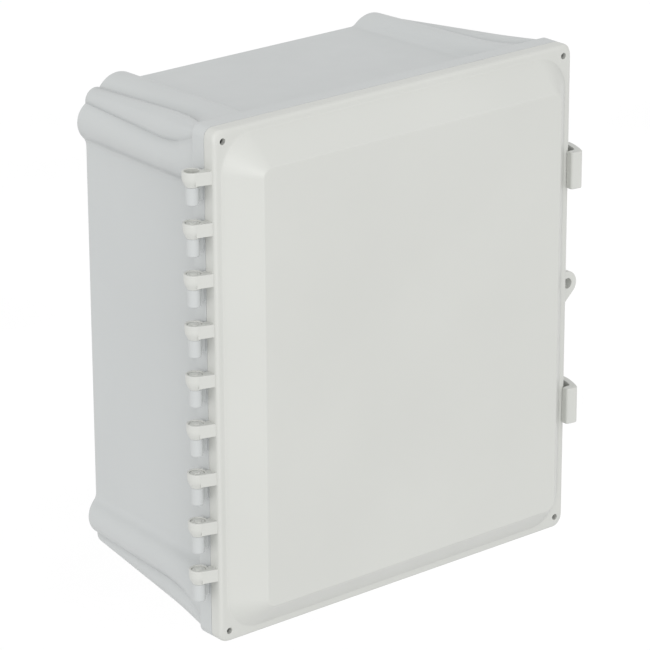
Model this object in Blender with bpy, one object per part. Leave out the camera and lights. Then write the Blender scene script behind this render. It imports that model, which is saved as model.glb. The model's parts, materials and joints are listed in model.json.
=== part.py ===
"""Hinged plastic wall enclosure: base, cover, nine hinge pins, two snap latches and the hardware inside.

Frame: origin at the centre of the rear wall face, +X to the latch side, +Y towards the wall, +Z up.
Lengths below are in millimetres and become metres when each mesh is made.
"""

import math

import bmesh
import bpy
from mathutils import Matrix, Vector

MM = 0.001

# Depth stations, front is -Y.
COVER_FRONT_Y = -192.5
COVER_RIM_Y = -172.5
COVER_REAR_Y = -161.6
BASE_FRONT_Y = -161.3
FLANGE_REAR_Y = -147.5

# Cover plan.
RIM_HALF_X = 164.0
RIM_HALF_Z = 190.3
RIM_RADIUS = 7.0
RIM_EDGE_ROUND = 2.6
SLOPE_FOOT_INSET = 6.0
SLOPE_FOOT_RADIUS = 27.0
PLATEAU_HALF_X = 136.8
PLATEAU_HALF_Z = 163.1
PLATEAU_RADIUS = 7.0
COVER_WALL = 4.0
SKIRT_WALL = 3.2
SCREW_X = 156.2
SCREW_Z = 181.85
COVER_HOLE_RADIUS = 2.3

# Gasket channel, given as the half sizes of its centre line.
GASKET_HALF_X = 151.5
GASKET_HALF_Z = 181.2
GASKET_RADIUS = 19.5
GASKET_WIDTH = 4.4
CHANNEL_WIDTH = 5.2
CHANNEL_RIB = 1.6
CHANNEL_RIB_Y = -162.0
CHANNEL_FLOOR_Y = -166.0
GASKET_REAR_Y = -161.6

# Body of the base.
BODY_REAR_HALF_X = 146.85
BODY_REAR_HALF_Z = 176.7
BODY_FRONT_HALF_X = 151.0
BODY_FRONT_HALF_Z = 181.0
BODY_WALL = 4.0
FLOOR_THICKNESS = 4.0
REAR_EDGE_ROUND = 1.6
LOBE_FILLET = 10.0
LOBE_REAR_HEIGHT = 7.35
SIDE_LOBE_RADIUS = 15.9
SIDE_LOBE_FROM_CORNER = 24.0
SIDE_LOBE_FRONT_HEIGHT = 11.8
END_LOBE_RADIUS = 20.0
END_LOBE_FROM_CORNER = 29.0
END_LOBE_FRONT_HEIGHT = 8.2
MIDDLE_LOBE_RADIUS = 9.0
MIDDLE_LOBE_REAR_CENTRE = 9.2
MIDDLE_LOBE_FRONT_RADIUS = 12.0
LOBE_FADE_Y = -115.0
LOBE_FADE_SHARE = 0.8
LOBE_REACH = 45.0
MOUTH_RADIUS = 16.0
MOUTH_BLEND_Y = -128.0
MOUTH_SHARE = 0.967
EDGE_CHAMFER = 0.5
FLANGE_PLATE = 4.0
FLANGE_SKIRT = 3.2
POCKET_HALF_X = 92.0
POCKET_HALF_Z = 124.0
POCKET_FROM_BODY = 0.4
CUT_PAST = 1.0

# Hinge units, counted from the top.
HINGE_COUNT = 9
HINGE_TOP_Z = 162.0
HINGE_PITCH = 36.8
HINGE_X = -173.5
HINGE_Y = -160.2
KNUCKLE_RADIUS = 7.0
KNUCKLE_HEIGHT = 10.9
KNUCKLE_TAPER_HEIGHT = 4.8
KNUCKLE_ARM_HEIGHT = 9.6
KNUCKLE_BORE = 2.7
KNUCKLE_CUP_RADIUS = 5.3
KNUCKLE_CUP_DEPTH = 2.4
FIRST_CUP_DEPTH = 7.0
BASE_KNUCKLE_RADIUS = 4.6
BASE_KNUCKLE_HEIGHT = 13.2
BASE_KNUCKLE_ROUND = 1.6
BASE_BORE_DEPTH = 10.6
HINGE_GAP = 0.35
WEB_FRONT = 0.6
WEB_INSET = 0.2
PIN_RADIUS = 2.35
PIN_HEAD_RADIUS = 4.9
PIN_HEAD_HEIGHT = 1.4
PIN_NUB_RADIUS = 2.6
PIN_NUB_HEIGHT = 0.5

# Latches.
LATCH_Z = (94.5, -91.2)
LATCH_HEIGHT = 28.4
LATCH_X = 171.6
LATCH_Y = -153.5
LATCH_BARREL = 6.4
LATCH_BORE = 2.3
LATCH_PIN_RADIUS = 2.0
LATCH_PIN_HEAD = 3.4
LATCH_PIN_HEAD_HEIGHT = 0.9
LUG_HEIGHT = 9.6
LUG_RADIUS = 4.6
LUG_CLEARANCE = 0.5
LUG_WINDOW_GAP = 0.4
LUG_POINTS = 9
ROOT_DEPTH = 1.5

# Padlock tabs, one on the cover and one on the base.
TAB_TIP_X = 167.3
TAB_TIP_Z = 2.8
TAB_TIP_RADIUS = 9.6
TAB_TOP_ANGLE = 110.0
TAB_LOW_ANGLE = -48.0
TAB_ROOT_DEPTH = 1.2
TAB_HOLE_X = 167.7
TAB_HOLE_Z = 3.1
TAB_HOLE_RADIUS = 4.1
TAB_COVER_FRONT_Y = -169.0
TAB_BASE_REAR_Y = -158.9

# Threaded inserts: cover corners, mounting corners and panel posts.
INSERT_RADIUS = 3.4
INSERT_LENGTH = 10.0
INSERT_BORE = 2.4
INSERT_GAP = 0.3
BORE_BEYOND = 2.5
MOUNT_BORE_BEYOND = 1.5
MOUNT_X = 137.65
MOUNT_Z = 167.5
MOUNT_INSERT_RADIUS = 4.2
MOUNT_INSERT_BORE = 2.9
MOUNT_INSERT_LENGTH = 9.0
MOUNT_BOSS_RADIUS = 7.6
MOUNT_BOSS_FRONT_Y = -14.0

# Back panel and its posts.
PANEL_HALF_X = 127.0
PANEL_HALF_Z = 157.0
PANEL_RADIUS = 8.0
PANEL_THICKNESS = 2.0
PANEL_REAR_Y = -20.3
PANEL_CLEAR_MARGIN = 12.0
POST_X = 115.0
POST_Z = 145.0
POST_RADIUS = 7.0
POST_FRONT_Y = -20.0
PANEL_HOLE_RADIUS = 2.6
PANEL_SCREW_RADIUS = 1.9
PANEL_SCREW_HEAD = 4.6
PANEL_SCREW_HEAD_HEIGHT = 2.6
PANEL_SCREW_LENGTH = 10.0
PANEL_SCREW_SLOT = 1.1

# Facets: points on each arc of a corner, and sides of the round pieces.
LOBE_POINTS = 6
MIDDLE_POINTS = 3
FILLET_POINTS = 3
STRAIGHT_POINTS = 4
TAB_POINTS = 10
COVER_CORNER_POINTS = 4
RIM_EDGE_STEPS = 3
ROUND_SIDES = 16
SMALL_SIDES = 12

CORNERS = ((1, 1), (-1, 1), (-1, -1), (1, -1))


def clear_scene():
    for found in list(bpy.data.objects):
        bpy.data.objects.remove(found, do_unlink=True)


def make_material(name, colour, roughness, metallic=0.0):
    material = bpy.data.materials.new(name)
    material.use_nodes = True
    shader = material.node_tree.nodes["Principled BSDF"]
    shader.inputs["Base Color"].default_value = (*colour, 1.0)
    shader.inputs["Roughness"].default_value = roughness
    shader.inputs["Metallic"].default_value = metallic
    return material


def arc(centre, radius, start, end, count):
    """Points on an arc, both ends included; the angles are in radians."""
    points = []
    for step in range(count):
        angle = start + (end - start) * step / (count - 1)
        points.append((centre[0] + radius * math.cos(angle), centre[1] + radius * math.sin(angle)))
    return points


def circle_crossing(first, first_radius, second, second_radius):
    """The crossing of two circles that is on the left hand from the first centre to the second."""
    gap_a = second[0] - first[0]
    gap_b = second[1] - first[1]
    distance = math.hypot(gap_a, gap_b)
    along = (distance**2 + first_radius**2 - second_radius**2) / (2 * distance)
    across = math.sqrt(first_radius**2 - along**2)
    return (
        first[0] + (along * gap_a - across * gap_b) / distance,
        first[1] + (along * gap_b + across * gap_a) / distance,
    )


def lobed_corner(lobe_shape, middle_shape, inset=0.0):
    """Half of a corner cluster, from the straight wall to the tip of the corner.

    Each point is (a, b), the distances inward from the two wall planes. The lobe is (radius, height over
    the wall, distance of its centre from the corner) and the middle one is (radius, a, b) of its centre.
    """
    radius, height, from_corner = lobe_shape
    lobe = (radius - height, from_corner)
    reach = radius + LOBE_FILLET
    drop = radius - height + LOBE_FILLET
    fillet = (-LOBE_FILLET, from_corner + math.sqrt(reach**2 - drop**2))
    lobe_radius = radius - inset
    middle_radius = middle_shape[0] - inset
    middle = middle_shape[1:]
    turn = math.atan2(lobe[1] - fillet[1], lobe[0] - fillet[0])
    points = arc(fillet, LOBE_FILLET + inset, 0.0, turn, FILLET_POINTS)[:-1]
    notch = circle_crossing(middle, middle_radius, lobe, lobe_radius)
    start = turn + math.pi
    end = math.atan2(notch[1] - lobe[1], notch[0] - lobe[0])
    while end < start:
        end += 2 * math.pi
    points += arc(lobe, lobe_radius, start, end, LOBE_POINTS)
    start = math.atan2(notch[1] - middle[1], notch[0] - middle[0])
    if start < 0:
        start += 2 * math.pi
    points += arc(middle, middle_radius, start, 1.25 * math.pi, MIDDLE_POINTS)[1:]
    return points


def filled_corner(lobe_half, height, other_height, radius, walls_too):
    """The half corner made straight, at the height given, from the crest of the lobe to a round corner.

    With walls_too the whole run is at that height, as on the flange.
    """
    crest = min(range(FILLET_POINTS - 1 + LOBE_POINTS), key=lambda index: lobe_half[index][0])
    points = list(lobe_half[: crest + 1])
    if walls_too:
        points = [(-height, b) for _, b in points]
    rest = len(lobe_half) - len(points) - MIDDLE_POINTS
    start = points[-1][1]
    end = radius - other_height
    points += [(-height, start + (end - start) * (step + 1) / (rest + 1)) for step in range(rest)]
    centre = (radius - height, radius - other_height)
    return points + arc(centre, radius, math.pi, 1.25 * math.pi, MIDDLE_POINTS)


def matched_corner(radius):
    """As many points as half of a lobed corner: a straight run of wall, then half of a round corner."""
    points = []
    for step in range(STRAIGHT_POINTS):
        points.append((0.0, LOBE_REACH + (radius - LOBE_REACH) * step / STRAIGHT_POINTS))
    count = FILLET_POINTS - 1 + LOBE_POINTS + MIDDLE_POINTS - 1 - STRAIGHT_POINTS
    return points + arc((radius, radius), radius, math.pi, 1.25 * math.pi, count)


def outline(half_x, half_z, side_half, end_half):
    """A closed outline from the half corner beside the long walls and the one beside the top and bottom."""
    whole = side_half + [(b, a) for a, b in reversed(end_half[:-1])]
    points = []
    for index, (sign_x, sign_z) in enumerate(CORNERS):
        corner = whole if index % 2 == 0 else whole[::-1]
        for a, b in corner:
            points.append((sign_x * (half_x - a), sign_z * (half_z - b)))
    return points


def matched(half_x, half_z, radius):
    """A rounded rectangle that can be joined point for point to a lobed outline."""
    half = matched_corner(radius)
    return outline(half_x, half_z, half, half)


def plain(half_x, half_z, radius):
    half = arc((radius, radius), radius, math.pi, 1.25 * math.pi, COVER_CORNER_POINTS)
    return outline(half_x, half_z, half, half)


def rear_lobed(margin=0.0, inset=0.0):
    """The lobed outline at the rear face, moved inward as a whole by the margin or thinned by the inset."""
    middle = (MIDDLE_LOBE_RADIUS, MIDDLE_LOBE_REAR_CENTRE, MIDDLE_LOBE_REAR_CENTRE)
    side = lobed_corner((SIDE_LOBE_RADIUS, LOBE_REAR_HEIGHT, SIDE_LOBE_FROM_CORNER), middle, inset)
    end = lobed_corner((END_LOBE_RADIUS, LOBE_REAR_HEIGHT, END_LOBE_FROM_CORNER), middle, inset)
    return outline(BODY_REAR_HALF_X - margin, BODY_REAR_HALF_Z - margin, side, end)


def front_outlines():
    """Three outlines behind the flange: lobed, filled out to a plain corner, and the flange itself."""
    share = FLANGE_REAR_Y / BASE_FRONT_Y
    half_x = BODY_REAR_HALF_X + share * (BODY_FRONT_HALF_X - BODY_REAR_HALF_X)
    half_z = BODY_REAR_HALF_Z + share * (BODY_FRONT_HALF_Z - BODY_REAR_HALF_Z)
    side_height = SIDE_LOBE_FRONT_HEIGHT
    end_height = END_LOBE_FRONT_HEIGHT
    radius = MIDDLE_LOBE_FRONT_RADIUS
    middle = (radius, radius - side_height, radius - end_height)
    side = lobed_corner((SIDE_LOBE_RADIUS, side_height, SIDE_LOBE_FROM_CORNER), middle)
    middle = (radius, radius - end_height, radius - side_height)
    end = lobed_corner((END_LOBE_RADIUS, end_height, END_LOBE_FROM_CORNER), middle)
    filled_side = filled_corner(side, side_height, end_height, RIM_RADIUS - 1.0, False)
    filled_end = filled_corner(end, end_height, side_height, RIM_RADIUS - 1.0, False)
    rim_x = RIM_HALF_X - half_x
    rim_z = RIM_HALF_Z - half_z
    rim_side = filled_corner(side, rim_x, rim_z, RIM_RADIUS, True)
    rim_end = filled_corner(end, rim_z, rim_x, RIM_RADIUS, True)
    return (
        outline(half_x, half_z, side, end),
        outline(half_x, half_z, filled_side, filled_end),
        outline(half_x, half_z, rim_side, rim_end),
    )


def blend(first, second, share):
    return [
        (a[0] * (1 - share) + b[0] * share, a[1] * (1 - share) + b[1] * share)
        for a, b in zip(first, second)
    ]


def finish_mesh(name, mesh_builder, material, smooth_angle=None, location=(0.0, 0.0, 0.0)):
    """Makes the object from a bmesh in millimetres, with its origin at the location given."""
    bmesh.ops.recalc_face_normals(mesh_builder, faces=mesh_builder.faces)
    shift = Matrix.Translation(-Vector(location))
    bmesh.ops.transform(mesh_builder, matrix=Matrix.Scale(MM, 4) @ shift, verts=mesh_builder.verts)
    mesh = bpy.data.meshes.new(name)
    mesh_builder.to_mesh(mesh)
    mesh_builder.free()
    if smooth_angle is not None:
        mesh.shade_smooth()
        mesh.set_sharp_from_angle(angle=math.radians(smooth_angle))
    made = bpy.data.objects.new(name, mesh)
    made.location = Vector(location) * MM
    bpy.context.scene.collection.objects.link(made)
    if material is not None:
        mesh.materials.append(material)
    return made


def loft(target, rings):
    """Joins rings of (outline, y) into one closed skin, with a flat cap on the first and the last ring."""
    rows = [[target.verts.new((x, y, z)) for x, z in points] for points, y in rings]
    count = len(rows[0])
    for low, high in zip(rows, rows[1:]):
        for index in range(count):
            after = (index + 1) % count
            target.faces.new((low[index], low[after], high[after], high[index]))
    target.faces.new(rows[0])
    target.faces.new(rows[-1][::-1])


def prism_along_z(target, points, low, high):
    """A closed prism from an (x, y) outline."""
    rows = [[target.verts.new((x, y, z)) for x, y in points] for z in (low, high)]
    count = len(points)
    for index in range(count):
        after = (index + 1) % count
        target.faces.new((rows[0][index], rows[0][after], rows[1][after], rows[1][index]))
    target.faces.new(rows[0][::-1])
    target.faces.new(rows[1])


def prism_along_y(target, points, front, rear):
    """A closed prism from an (x, z) outline."""
    loft(target, [(points, front), (points, rear)])


def turned(target, profile, centre, axis, sides):
    """A closed turned body from (radius, height) pairs; a radius of zero at either end closes it."""
    rows = []
    for radius, height in profile:
        if radius == 0.0:
            rows.append([target.verts.new(turned_point(centre, axis, 0.0, 0.0, height))])
            continue
        ring = []
        for side in range(sides):
            angle = 2 * math.pi * side / sides
            ring.append(target.verts.new(turned_point(centre, axis, radius, angle, height)))
        rows.append(ring)
    for low, high in zip(rows, rows[1:]):
        for side in range(sides):
            after = (side + 1) % sides
            if len(low) == 1:
                target.faces.new((low[0], high[after], high[side]))
            elif len(high) == 1:
                target.faces.new((low[side], low[after], high[0]))
            else:
                target.faces.new((low[side], low[after], high[after], high[side]))
    if len(rows[0]) > 1 and len(rows[-1]) > 1:
        close_ends(target, rows, sides, profile)


def close_ends(target, rows, sides, profile):
    """Joins the last ring to the first for a hollow body, or caps both for a solid one."""
    if profile[0] == profile[-1]:
        bmesh.ops.remove_doubles(target, verts=rows[0] + rows[-1], dist=1e-6)
        return
    target.faces.new(rows[0][::-1])
    target.faces.new(rows[-1])


def turned_point(centre, axis, radius, angle, height):
    across = radius * math.cos(angle)
    up = radius * math.sin(angle)
    if axis == "Z":
        return (centre[0] + across, centre[1] + up, centre[2] + height)
    return (centre[0] + across, centre[1] + height, centre[2] + up)


def cylinder(target, centre, axis, radius, low, high, sides=ROUND_SIDES):
    turned(target, [(radius, low), (radius, high)], centre, axis, sides)


def apply_boolean(made, operation, other):
    """Adds one exact Boolean with a helper, applies it, and removes the helper."""
    other.hide_render = True
    other.display_type = "WIRE"
    modifier = made.modifiers.new(operation.title(), "BOOLEAN")
    modifier.operation = operation
    modifier.solver = "EXACT"
    modifier.use_self = False
    modifier.object = other
    graph = bpy.context.evaluated_depsgraph_get()
    mesh = bpy.data.meshes.new_from_object(made.evaluated_get(graph))
    made.modifiers.clear()
    made.data = mesh
    bpy.data.objects.remove(other, do_unlink=True)


def smooth(made, angle=35.0):
    made.data.shade_smooth()
    made.data.set_sharp_from_angle(angle=math.radians(angle))


def hinge_tops():
    return [HINGE_TOP_Z - HINGE_PITCH * index for index in range(HINGE_COUNT)]


def tab_outline():
    """The padlock tab: round above and at the tip, with a straight lower side that runs into the wall."""
    top_angle = math.radians(TAB_TOP_ANGLE)
    low_angle = math.radians(TAB_LOW_ANGLE)
    tip = arc((TAB_TIP_X, TAB_TIP_Z), TAB_TIP_RADIUS, top_angle, low_angle, TAB_POINTS)
    root_x = RIM_HALF_X - TAB_ROOT_DEPTH
    fall = (tip[-1][0] - root_x) / math.tan(-low_angle)
    return [(root_x, tip[0][1])] + tip + [(root_x, tip[-1][1] - fall)]


def base_rings():
    """Rear face, lobed walls that fill out towards the flange, flange, mouth, inner wall and floor."""
    rear = rear_lobed()
    lobed, filled, flange = front_outlines()
    before_fade = blend(rear, lobed, LOBE_FADE_Y / FLANGE_REAR_Y)
    mouth = matched(BODY_FRONT_HALF_X - BODY_WALL, BODY_FRONT_HALF_Z - BODY_WALL, MOUTH_RADIUS)
    inner_floor = rear_lobed(inset=BODY_WALL)
    return [
        (rear_lobed(margin=REAR_EDGE_ROUND), 0.0),
        (rear, -REAR_EDGE_ROUND),
        (before_fade, LOBE_FADE_Y),
        (blend(lobed, filled, LOBE_FADE_SHARE), FLANGE_REAR_Y),
        (flange, FLANGE_REAR_Y - EDGE_CHAMFER),
        (flange, BASE_FRONT_Y + EDGE_CHAMFER),
        (smaller(flange, EDGE_CHAMFER), BASE_FRONT_Y),
        (mouth, BASE_FRONT_Y),
        (blend(inner_floor, mouth, MOUTH_SHARE), MOUTH_BLEND_Y),
        (inner_floor, -FLOOR_THICKNESS),
    ]


def smaller(points, amount):
    """The outline of the flange made smaller by the amount, point for point."""
    share_x = 1 - amount / RIM_HALF_X
    share_z = 1 - amount / RIM_HALF_Z
    return [(x * share_x, z * share_z) for x, z in points]


def make_base(material):
    shell = bmesh.new()
    loft(shell, base_rings())
    base = finish_mesh("base", shell, None)

    webs = bmesh.new()
    knuckles = bmesh.new()
    for top in hinge_tops():
        high = top - KNUCKLE_HEIGHT - HINGE_GAP
        foot = high - BASE_KNUCKLE_HEIGHT + BASE_KNUCKLE_ROUND
        add_base_knuckle(knuckles, high)
        prism_along_z(webs, base_web_outline(), foot, high - WEB_INSET)
    apply_boolean(base, "UNION", finish_mesh("base_webs", webs, None))
    apply_boolean(base, "UNION", finish_mesh("base_knuckles", knuckles, None))

    added = bmesh.new()
    for height in LATCH_Z:
        lug = arc((LATCH_X, LATCH_Y), LUG_RADIUS, -math.pi / 2, math.pi / 2, LUG_POINTS)
        root_x = RIM_HALF_X - ROOT_DEPTH
        points = [(root_x, LATCH_Y - LUG_RADIUS)] + lug + [(root_x, LATCH_Y + LUG_RADIUS)]
        prism_along_z(added, points, height - LUG_HEIGHT / 2, height + LUG_HEIGHT / 2)
    prism_along_y(added, tab_outline(), BASE_FRONT_Y, TAB_BASE_REAR_Y)
    for sign_x, sign_z in CORNERS:
        centre = (sign_x * MOUNT_X, 0.0, sign_z * MOUNT_Z)
        cylinder(added, centre, "Y", MOUNT_BOSS_RADIUS, MOUNT_BOSS_FRONT_Y, -ROOT_DEPTH)
        centre = (sign_x * POST_X, 0.0, sign_z * POST_Z)
        cylinder(added, centre, "Y", POST_RADIUS, POST_FRONT_Y, -ROOT_DEPTH)
    apply_boolean(base, "UNION", finish_mesh("base_additions", added, None))

    cut = bmesh.new()
    for top in hinge_tops():
        high = top - KNUCKLE_HEIGHT - HINGE_GAP
        axis_foot = (HINGE_X, HINGE_Y, high)
        cylinder(cut, axis_foot, "Z", KNUCKLE_BORE, -BASE_BORE_DEPTH, CUT_PAST, SMALL_SIDES)
    for height in LATCH_Z:
        reach = LUG_HEIGHT / 2 + CUT_PAST
        cylinder(cut, (LATCH_X, LATCH_Y, height), "Z", LATCH_BORE, -reach, reach, SMALL_SIDES)
    hole = (TAB_HOLE_X, 0.0, TAB_HOLE_Z)
    cylinder(cut, hole, "Y", TAB_HOLE_RADIUS, BASE_FRONT_Y - CUT_PAST, TAB_BASE_REAR_Y + CUT_PAST)
    for sign_x, sign_z in CORNERS:
        centre = (sign_x * SCREW_X, 0.0, sign_z * SCREW_Z)
        deep = BASE_FRONT_Y + INSERT_LENGTH + BORE_BEYOND
        cylinder(cut, centre, "Y", INSERT_RADIUS + INSERT_GAP, BASE_FRONT_Y - CUT_PAST, deep)
        centre = (sign_x * MOUNT_X, 0.0, sign_z * MOUNT_Z)
        deep = -MOUNT_INSERT_LENGTH - MOUNT_BORE_BEYOND
        cylinder(cut, centre, "Y", MOUNT_INSERT_RADIUS + INSERT_GAP, deep, CUT_PAST)
        centre = (sign_x * POST_X, 0.0, sign_z * POST_Z)
        deep = POST_FRONT_Y + INSERT_LENGTH + BORE_BEYOND
        cylinder(cut, centre, "Y", INSERT_RADIUS + INSERT_GAP, POST_FRONT_Y - CUT_PAST, deep)
    for sign in (1, -1):
        add_flange_pocket(cut, sign, False)
        add_flange_pocket(cut, sign, True)
    apply_boolean(base, "DIFFERENCE", finish_mesh("base_cuts", cut, None))
    base.data.materials.clear()
    base.data.materials.append(material)
    smooth(base)
    return base


def add_flange_pocket(target, sign, at_end):
    """A pocket behind the flange, between its skirt and one wall, open to the rear."""
    half_length = POCKET_HALF_X if at_end else POCKET_HALF_Z
    body_half = BODY_FRONT_HALF_Z if at_end else BODY_FRONT_HALF_X
    rim_half = RIM_HALF_Z if at_end else RIM_HALF_X
    inner = sign * (body_half + POCKET_FROM_BODY)
    outer = sign * (rim_half - FLANGE_SKIRT)
    points = [(inner, -half_length), (outer, -half_length), (outer, half_length), (inner, half_length)]
    if at_end:
        points = [(along, across) for across, along in points]
    prism_along_y(target, points, BASE_FRONT_Y + FLANGE_PLATE, FLANGE_REAR_Y + CUT_PAST)


def add_base_knuckle(target, high):
    """A round knuckle with a rounded foot, and a thin web behind its axis that joins it to the flange."""
    low = -BASE_KNUCKLE_HEIGHT
    round_off = BASE_KNUCKLE_ROUND
    profile = [
        (BASE_KNUCKLE_RADIUS - round_off, low),
        (BASE_KNUCKLE_RADIUS - 0.3 * round_off, low + 0.3 * round_off),
        (BASE_KNUCKLE_RADIUS, low + round_off),
        (BASE_KNUCKLE_RADIUS, 0.0),
    ]
    turned(target, profile, (HINGE_X, HINGE_Y, high), "Z", ROUND_SIDES)


def base_web_outline():
    root_x = -RIM_HALF_X + ROOT_DEPTH
    front = HINGE_Y + WEB_FRONT
    rear = HINGE_Y + BASE_KNUCKLE_RADIUS - WEB_INSET
    return [(root_x, front), (root_x, rear), (HINGE_X, rear), (HINGE_X, front)]


def cover_rings():
    """Front face, bevel, rim, rounded edge, skirt, screw land, gasket channel and inner faces."""
    foot_x = RIM_HALF_X - SLOPE_FOOT_INSET
    foot_z = RIM_HALF_Z - SLOPE_FOOT_INSET
    foot = plain(foot_x, foot_z, SLOPE_FOOT_RADIUS)
    plateau = plain(PLATEAU_HALF_X, PLATEAU_HALF_Z, PLATEAU_RADIUS)
    rings = [(plain(PLATEAU_HALF_X - 0.9, PLATEAU_HALF_Z - 0.9, PLATEAU_RADIUS - 0.9), COVER_FRONT_Y)]
    rings.append((blend(plateau, foot, 0.03), COVER_FRONT_Y + 0.6))
    rings.append((foot, COVER_RIM_Y))
    for step in range(RIM_EDGE_STEPS):
        angle = math.pi / 2 * step / (RIM_EDGE_STEPS - 1)
        inset = RIM_EDGE_ROUND * (1 - math.sin(angle))
        y = COVER_RIM_Y + RIM_EDGE_ROUND * (1 - math.cos(angle))
        rings.append((plain(RIM_HALF_X - inset, RIM_HALF_Z - inset, RIM_RADIUS - inset), y))
    rings.append((plain(RIM_HALF_X, RIM_HALF_Z, RIM_RADIUS), COVER_REAR_Y - 0.5))
    rings.append((plain(RIM_HALF_X - 0.5, RIM_HALF_Z - 0.5, RIM_RADIUS - 0.5), COVER_REAR_Y))
    skirt_x = RIM_HALF_X - SKIRT_WALL
    skirt_z = RIM_HALF_Z - SKIRT_WALL
    land_y = COVER_RIM_Y + COVER_WALL
    rings.append((plain(skirt_x, skirt_z, RIM_RADIUS - SKIRT_WALL), COVER_REAR_Y))
    rings.append((plain(skirt_x, skirt_z, RIM_RADIUS - SKIRT_WALL), land_y))
    for offset, y in channel_steps(land_y):
        points = plain(GASKET_HALF_X + offset, GASKET_HALF_Z + offset, GASKET_RADIUS + offset)
        rings.append((points, y))
    inner_x = GASKET_HALF_X - CHANNEL_WIDTH / 2 - CHANNEL_RIB
    slope_share = (foot_x - inner_x) / (foot_x - PLATEAU_HALF_X)
    inner_y = COVER_RIM_Y + slope_share * (COVER_FRONT_Y - COVER_RIM_Y) + COVER_WALL * 1.3
    inner_offset = -CHANNEL_WIDTH / 2 - CHANNEL_RIB
    points = plain(GASKET_HALF_X + inner_offset, GASKET_HALF_Z + inner_offset, GASKET_RADIUS + inner_offset)
    rings.append((points, inner_y))
    inset = COVER_WALL * 0.4
    inner = plain(PLATEAU_HALF_X - inset, PLATEAU_HALF_Z - inset, PLATEAU_RADIUS - inset)
    rings.append((inner, COVER_FRONT_Y + COVER_WALL))
    return rings


def channel_steps(land_y):
    """(offset from the gasket centre line, y) pairs round the two ribs of the gasket channel."""
    half = CHANNEL_WIDTH / 2
    return (
        (half + CHANNEL_RIB, land_y),
        (half + CHANNEL_RIB, CHANNEL_RIB_Y),
        (half, CHANNEL_RIB_Y),
        (half, CHANNEL_FLOOR_Y),
        (-half, CHANNEL_FLOOR_Y),
        (-half, CHANNEL_RIB_Y),
        (-half - CHANNEL_RIB, CHANNEL_RIB_Y),
    )


def make_cover(material):
    shell = bmesh.new()
    loft(shell, cover_rings())
    origin = (HINGE_X, HINGE_Y, 0.0)
    cover = finish_mesh("cover", shell, None, location=origin)

    added = bmesh.new()
    for top in hinge_tops():
        arm = knuckle_arm_outline()
        prism_along_z(added, arm, top - KNUCKLE_ARM_HEIGHT, top - 0.15)
    prism_along_y(added, tab_outline(), TAB_COVER_FRONT_Y, COVER_REAR_Y)
    apply_boolean(cover, "UNION", finish_mesh("cover_additions", added, None, location=origin))

    knuckles = bmesh.new()
    for top in hinge_tops():
        add_cover_knuckle(knuckles, top)
    apply_boolean(cover, "UNION", finish_mesh("cover_knuckles", knuckles, None, location=origin))

    cut = bmesh.new()
    for index, top in enumerate(hinge_tops()):
        depth = FIRST_CUP_DEPTH if index == 0 else KNUCKLE_CUP_DEPTH
        centre = (HINGE_X, HINGE_Y, top)
        profile = [
            (0.0, -KNUCKLE_HEIGHT - 1.0),
            (KNUCKLE_BORE, -KNUCKLE_HEIGHT - 1.0),
            (KNUCKLE_BORE, -depth),
            (KNUCKLE_CUP_RADIUS, -depth),
            (KNUCKLE_CUP_RADIUS, 1.0),
            (0.0, 1.0),
        ]
        turned(cut, profile, centre, "Z", SMALL_SIDES)
    for sign_x, sign_z in CORNERS:
        centre = (sign_x * SCREW_X, 0.0, sign_z * SCREW_Z)
        cylinder(cut, centre, "Y", COVER_HOLE_RADIUS, COVER_RIM_Y - 8.0, COVER_REAR_Y + 1.0, SMALL_SIDES)
    hole = (TAB_HOLE_X, 0.0, TAB_HOLE_Z)
    cylinder(cut, hole, "Y", TAB_HOLE_RADIUS, TAB_COVER_FRONT_Y - CUT_PAST, COVER_REAR_Y + CUT_PAST)
    apply_boolean(cover, "DIFFERENCE", finish_mesh("cover_cuts", cut, None, location=origin))
    cover.data.materials.clear()
    cover.data.materials.append(material)
    smooth(cover)
    return cover


def knuckle_arm_outline():
    """The plan of one arm, from the skirt to the knuckle: tangent in front, level with the seam behind."""
    start = Vector((-RIM_HALF_X + 1.2, COVER_RIM_Y + 2.2))
    centre = Vector((HINGE_X, HINGE_Y))
    gap = centre - start
    radius = KNUCKLE_RADIUS - 0.15
    swing = math.asin(radius / gap.length)
    direction = math.atan2(gap.y, gap.x) + swing
    reach = math.sqrt(gap.length**2 - radius**2)
    touch = start + reach * Vector((math.cos(direction), math.sin(direction)))
    side_y = COVER_REAR_Y - HINGE_Y
    side_x = HINGE_X + math.sqrt(radius**2 - side_y**2)
    return [
        (start.x, start.y),
        (touch.x, touch.y),
        (HINGE_X, HINGE_Y),
        (side_x, COVER_REAR_Y),
        (start.x, COVER_REAR_Y),
    ]


def add_cover_knuckle(target, top):
    """A round knuckle that tapers to the size of the base knuckle at its foot."""
    low = -KNUCKLE_HEIGHT
    foot_radius = BASE_KNUCKLE_RADIUS + 0.3
    profile = [
        (foot_radius, low),
        (KNUCKLE_RADIUS - 0.5, low + KNUCKLE_TAPER_HEIGHT - 0.5),
        (KNUCKLE_RADIUS, low + KNUCKLE_TAPER_HEIGHT + 0.6),
        (KNUCKLE_RADIUS, -0.6),
        (KNUCKLE_RADIUS - 0.5, 0.0),
    ]
    turned(target, profile, (HINGE_X, HINGE_Y, top), "Z", ROUND_SIDES)


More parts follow.
